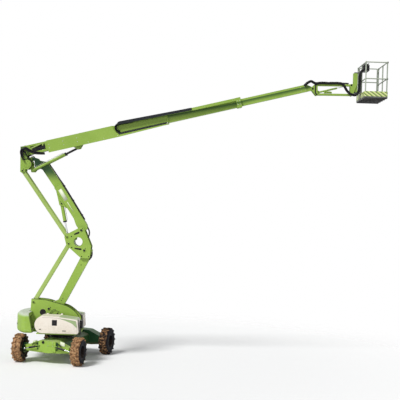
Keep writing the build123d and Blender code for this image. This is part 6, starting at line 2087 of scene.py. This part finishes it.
@dataclass
class Jib:
    """Jib: pin ends, the thick hose bundle, the valve box on the lower arm and the base's link."""

    pivot: tuple[float, float] = (7.8, 8.93)
    lower: tuple[float, float] = (7.923, 8.755)
    upper: tuple[float, float] = (7.913, 9.061)
    reach: tuple[float, float] = (1.13, 0.018)
    side: float = -0.1
    hose: float = 0.017
    spread: float = 0.027
    strands: int = 5
    pin_face: float = 0.101
    washer_face: float = 0.0925

    def bundle(self, shape: Shape, line: Sequence[Point], twist: float) -> None:
        """Adds hoses that run together along a line, lightly wound round each other.

        Args:
            shape: Shape in the machine's axes.
            line: Middle of the bundle.
            twist: Turns of the winding.
        """
        for k in range(self.strands):
            points = []
            for i, (x, y, z) in enumerate(line):
                ahead = line[min(i + 1, len(line) - 1)]
                back = line[max(i - 1, 0)]
                run = hypot(ahead[0] - back[0], ahead[2] - back[2]) or 1.0
                normal = (-(ahead[2] - back[2]) / run, (ahead[0] - back[0]) / run)
                turn = 2 * pi * (k / self.strands + twist * x)
                lift = sin(turn) * self.spread
                points.append((x + normal[0] * lift, y + cos(turn) * self.spread * 0.8, z + normal[1] * lift))
            shape.hose(points, self.hose, 10)
        shape.hose(line, self.hose, 10)

    def tie(self, shape: Shape, place: Point, way: Point) -> None:
        """Adds a strap round the bundle."""
        wide = self.spread + self.hose + 0.003
        shape.ring([
            (-0.008, wide - 0.004), (-0.008, wide), (0.008, wide), (0.008, wide - 0.004),
        ], place, way, 20)

    def pins(self) -> None:
        """Builds the pins' ends on the base and on the post."""
        for name, body, places in (
            ("jib_base_pins", "jib_base", ((*self.pivot, 0.025), (*self.lower, 0.02), (*self.upper, 0.02))),
            ("jib_post_pins", "jib_post", (
                (self.lower[0] + self.reach[0], self.lower[1] + self.reach[1], 0.02),
                (self.upper[0] + self.reach[0], self.upper[1] + self.reach[1], 0.02),
            )),
        ):
            shape = Shape(MACHINE, Finish.BLACK_STEEL)
            for x, z, radius in places:
                for hand in (-1, 1):
                    shape.boss([
                        (0, radius), (0.004, radius), (0.006, radius * 0.8), (0.006, 0.0),
                    ], (x, hand * self.pin_face, z), 20)
                    shape.ring([
                        (0, radius + 0.01), (0.004, radius + 0.009), (0.004, radius * 0.9), (0, radius * 0.9),
                    ], (x, hand * self.washer_face, z), (0, hand, 0), 20)
            shape.build(name, body, "black_steel")

    def hoses(self) -> None:
        """Builds each length of the hose bundle, fixed to one body or laid between two."""
        y = self.side
        for run in HOSE_RUNS:
            shape = Shape(MACHINE, Finish.HOSE)
            self.bundle(shape, [(a, y + aside, c) for a, aside, c in run.line], run.twist)
            if run.straps:
                shape.paint(Finish.CONTROL)
            for a, c in run.straps:
                self.tie(shape, (a, y, c), run.strap_way)
            if len(run.bodies) == 1:
                shape.build(run.name, run.bodies[0], "hose_rubber")
            else:
                shape.span(run.name, run.bodies)

    def arm_fittings(self) -> None:
        """Builds the valve box on the lower arm and the upright link beside the base."""
        shape = Shape(MACHINE, Finish.LIME)
        shape.slab([
            (8.16, 8.792), (8.42, 8.796), (8.42, 8.846), (8.35, 8.86), (8.19, 8.856), (8.16, 8.835),
        ], -0.092, -0.078, 0.004)
        shape.paint(Finish.CONTROL)
        for x in (8.22, 8.29, 8.36):
            shape.boss([(0, 0.016), (0.01, 0.015), (0.013, 0.008), (0.013, 0.0)], (x, -0.092, 8.828), 16)
        shape.build("jib_valve_box", "jib_lower_arm", "green_paint")
        base = Shape(MACHINE, Finish.BLACK_STEEL)
        base.slab([(7.868, 8.77), (7.905, 8.765), (7.902, 9.08), (7.868, 9.08)], -0.108, -0.098, 0.004)
        base.build("jib_base_link", "jib_base", "black_steel")

    def build(self) -> None:
        """Builds every fitting of the jib."""
        self.pins()
        self.hoses()
        self.arm_fittings()


# ---------------------------------------------------------------- basket
@dataclass
class Basket:
    """Basket: rounded rail corners, end knobs, deck grid, console controls and the gate's latch."""

    rear: float = 9.35
    length: float = 0.735
    half: float = 0.75
    floor: float = 8.665
    rail: float = 1.081
    mid: float = 0.56
    inset: float = 0.032
    tube: float = 0.019
    mesh_half: float = 0.725

    def posts(self) -> tuple[tuple[float, float], tuple[float, float]]:
        """X of both rails and Y of both rails."""
        xs = (self.rear + self.inset, self.rear + self.length - self.inset)
        return xs, (self.half - self.inset, self.inset - self.half)

    def rails(self) -> None:
        """Builds the rails' corner sleeves, end knobs and post flanges."""
        shape = Shape(MACHINE, Finish.RAIL)
        xs, ys = self.posts()
        thin, thick = self.tube + 0.001, self.tube + 0.004
        sleeve = [(-0.026, thin), (-0.022, thick), (0.022, thick), (0.026, thin)]
        flange = [(0, 0.0315), (0.006, 0.031), (0.009, 0.027), (0.012, 0.023), (0.02, 0.0205)]
        for x in xs:
            for y in (*ys, 0.0):
                for height in (self.mid, self.rail):
                    way = (0, 1, 0) if y == 0.0 else (0, 0, 1)
                    shape.turn(sleeve, (x, y, self.floor + height), way, 24)
                shape.turn(flange, (x, y, self.floor), (0, 0, 1), 24)
        shape.paint(Finish.CONTROL)
        knob = [(0, 0.02), (0.005, 0.03), (0.018, 0.031), (0.025, 0.022), (0.026, 0.0)]
        for y in ys:
            for height in (self.mid, self.rail):
                shape.turn(knob, (xs[1] + 0.005, y, self.floor + height), (1, 0, 0), 20)
        shape.build("basket_rail_fittings", "basket", "rail_grey")

    def deck(self) -> None:
        """Builds the deck's raised mesh, cross members and the foot switch."""
        shape = Shape(MACHINE, Finish.DECK)
        low, high = self.rear + 0.02, self.rear + self.length - 0.02
        for k in range(30):
            y = self.mesh_half * (2 * k / 29 - 1)
            shape.block(
                (low, y - 0.004, self.floor - 0.001), (high, y + 0.004, self.floor + 0.006), 0.0015, 1,
            )
        for k in range(15):
            x = low + (high - low) * k / 14
            shape.block(
                (x - 0.003, -self.mesh_half, self.floor - 0.001),
                (x + 0.003, self.mesh_half, self.floor + 0.004), 0.001, 1,
            )
        shape.paint(Finish.BLACK_STEEL)
        for y in (-0.7, -0.35, 0.0, 0.35, 0.7):
            shape.block(
                (self.rear + 0.01, y - 0.02, self.floor - 0.068),
                (self.rear + self.length - 0.01, y + 0.02, self.floor - 0.044), 0.004,
            )
        shape.build("basket_deck_grid", "basket", "deck_grey")
        pedal = Shape(MACHINE, Finish.CONTROL)
        pedal.slab([(9.6, 8.671), (9.72, 8.671), (9.72, 8.69), (9.62, 8.73), (9.6, 8.73)], 0.06, 0.16, 0.004)
        pedal.slab([(9.595, 8.735), (9.725, 8.695), (9.728, 8.702), (9.598, 8.743)], 0.05, 0.17, 0.002)
        pedal.build("foot_switch", "basket", "control_black")

    def console(self) -> None:
        """Builds the joysticks, switches, stop button and guard on the sloping panel."""
        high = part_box("basket_console")[1]
        z = high.z
        stick = [(0, 0.03), (0.004, 0.03), (0.01, 0.022), (0.016, 0.025), (0.02, 0.017), (0.024, 0.018)]
        stick += [(0.028, 0.009), (0.036, 0.008), (0.04, 0.012), (0.049, 0.013), (0.053, 0.0)]
        shape = Shape(MACHINE, Finish.BLOCK)
        shape.paint(Finish.CONTROL)
        for y in (-0.13, 0.13):
            shape.turn(stick, (high.x - 0.075, y, z - 0.055), (-0.2, 0, 1), 20)
        shape.paint(Finish.SIGNAL_RED)
        shape.turn([
            (0, 0.012), (0.01, 0.012), (0.011, 0.021), (0.019, 0.022), (0.024, 0.014), (0.025, 0.0),
        ], (high.x - 0.06, 0.0, z - 0.05), (-0.3, 0, 1), 24)
        shape.paint(Finish.ZINC)
        for y in (-0.195, -0.065, -0.035, 0.035, 0.065, 0.195):
            shape.rod((high.x - 0.05, y, z - 0.052), (high.x - 0.056, y, z - 0.02), 0.004, 10, 0.001)
        guard = [
            (-0.225, -0.08), (-0.225, -0.022), (-0.205, -0.012), (0.205, -0.012), (0.225, -0.022),
            (0.225, -0.08),
        ]
        guard = [(high.x - 0.025, y, z + lift) for y, lift in guard]
        shape.paint(Finish.RAIL).hose(guard, 0.009, 12, 8)
        shape.build("console_controls", "basket", "control_black")

    def gate(self) -> None:
        """Builds the gate's latch plate and its red bolt."""
        shape = Shape(MACHINE, Finish.CONTROL)
        shape.block((9.408, 0.69, 9.42), (9.45, 0.704, 9.52), 0.003)
        shape.paint(Finish.SIGNAL_RED)
        shape.rod((9.428, 0.688, 9.44), (9.428, 0.688, 9.5), 0.008, 14)
        shape.build("gate_latch", "basket_gate", "control_black")

    def build(self) -> None:
        """Builds every fitting of the basket."""
        self.rails()
        self.deck()
        self.console()
        self.gate()


# ---------------------------------------------------------------- studio
@dataclass
class Studio:
    """Pale floor, plain white surround, soft lights and the camera."""

    eye: Point = (4.19557, -29.5553, 5.17711)
    yaw: float = 0.00332765
    pitch: float = 0.00211207
    roll: float = 0.0314927
    lens: float = 82.6
    reach: float = 15.0
    floor_colour: Colour = (0.92, 0.92, 0.915)
    sky: float = 0.3
    middle: float = 1.5
    fade: float = 4.5
    key: float = 2.9
    fill: float = 0.5

    def floor(self) -> None:
        """Builds a round floor that fades into the surround."""
        data = bpy.data.meshes.new("floor")
        solid = bmesh.new()
        bmesh.ops.create_circle(
            solid, cap_ends=True, radius=self.reach, segments=96,
            matrix=Matrix.Translation((self.middle, 0, 0)),
        )
        solid.to_mesh(data)
        solid.free()
        made = bpy.data.objects.new("floor", data)
        bpy.context.scene.collection.objects.link(made)
        tree = ShaderTree("pale_floor")
        x, y = (tree.axis(tree.place, index) for index in range(2))
        away = ((x - self.middle) ** 2.0 + y ** 2.0) ** 0.5
        fine = tree.noise(1.2, 4.0)
        colour = tree.mix(fine * 0.05, self.floor_colour, (0.78, 0.78, 0.77))
        diffuse = tree.node(
            "ShaderNodeBsdfPrincipled", None,
            {"Base Color": colour, "Roughness": 0.85, "Specular IOR Level": 0.2},
        )
        clear = tree.node("ShaderNodeBsdfTransparent")
        share = away.step(self.fade, self.reach - 0.5)
        tree._output(tree.node("ShaderNodeMixShader", None, {0: share, 1: diffuse, 2: clear}))
        made.data.materials.append(tree.material)

    def surround(self) -> None:
        """Sets the surround: white to the camera and in reflections, a plain level for light."""
        world = bpy.data.worlds.new("surround")
        bpy.context.scene.world = world
        world.use_nodes = True
        nodes, links = world.node_tree.nodes, world.node_tree.links
        nodes.clear()
        path = nodes.new("ShaderNodeLightPath")
        share = path.outputs["Is Camera Ray"]
        for ray in ("Is Glossy Ray", "Is Transmission Ray"):
            larger = nodes.new("ShaderNodeMath")
            larger.operation = "MAXIMUM"
            links.new(share, larger.inputs[0])
            links.new(path.outputs[ray], larger.inputs[1])
            share = larger.outputs[0]
        blend = nodes.new("ShaderNodeMixShader")
        links.new(share, blend.inputs[0])
        for socket, colour, level in ((1, (0.95, 0.97, 1.0, 1), self.sky), (2, (1, 1, 1, 1), 1.0)):
            light = nodes.new("ShaderNodeBackground")
            light.inputs[0].default_value = colour
            light.inputs[1].default_value = level
            links.new(light.outputs[0], blend.inputs[socket])
        out = nodes.new("ShaderNodeOutputWorld")
        links.new(blend.outputs[0], out.inputs[0])

    def lamp(self, name: str, strength: float, spread: float, way: Point) -> None:
        """Adds a soft sun lamp.

        Args:
            name: Name of the lamp.
            strength: Its strength.
            spread: Its angle in degrees, which softens its shadows.
            way: Direction that its light travels in.
        """
        data = bpy.data.lights.new(name, "SUN")
        data.energy = strength
        data.angle = radians(spread)
        made = bpy.data.objects.new(name, data)
        made.rotation_mode = "QUATERNION"
        made.rotation_quaternion = Vector(way).to_track_quat("-Z", "Y")
        made.location = (0, -10, 15)
        bpy.context.scene.collection.objects.link(made)

    def camera(self) -> None:
        """Places the camera at about half of the machine's height, far out on its right side."""
        y, p, r = self.yaw, self.pitch, self.roll
        ahead = Vector((sin(y) * cos(p), cos(y) * cos(p), sin(p)))
        right = Vector((cos(y), -sin(y), 0))
        up = right.cross(ahead)
        right, up = right * cos(r) + up * sin(r), up * cos(r) - right * sin(r)
        data = bpy.data.cameras.new("camera")
        data.lens = self.lens
        data.sensor_width = 36.0
        data.clip_end = 200.0
        made = bpy.data.objects.new("camera", data)
        turn = Matrix((right, up, -ahead)).transposed().to_4x4()
        made.matrix_world = Matrix.Translation(self.eye) @ turn
        bpy.context.scene.collection.objects.link(made)
        bpy.context.scene.camera = made

    def build(self) -> None:
        """Builds the floor, lights and camera."""
        self.floor()
        self.surround()
        self.lamp("key", self.key, 16.0, (0.5, 0.62, -0.9))
        self.lamp("fill", self.fill, 40.0, (0.1, 1.0, -0.15))
        self.camera()
        bpy.context.scene.view_settings.view_transform = "Standard"
        LOG.info("built the studio")


# ---------------------------------------------------------------- main
def main() -> None:
    """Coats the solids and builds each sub-assembly in order."""
    logging.basicConfig(level=logging.INFO, format="%(name)s: %(message)s")
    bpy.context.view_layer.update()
    Studio().build()
    Coat().apply()
    Wheel("front_left", FRONT_AXLE, 1, STEER_REST).build()
    Wheel("front_right", FRONT_AXLE, -1, STEER_REST).build()
    Wheel("rear_left", REAR_AXLE, 1, mud=0.45).build()
    Wheel("rear_right", REAR_AXLE, -1, mud=0.45).build()
    for assembly in (Chassis(), Turntable(), Risers(), TopKnuckle(), Boom(), Jib(), Basket()):
        assembly.build()
        LOG.info("finished %s", type(assembly).__name__)


if __name__ == "__main__":
    main()
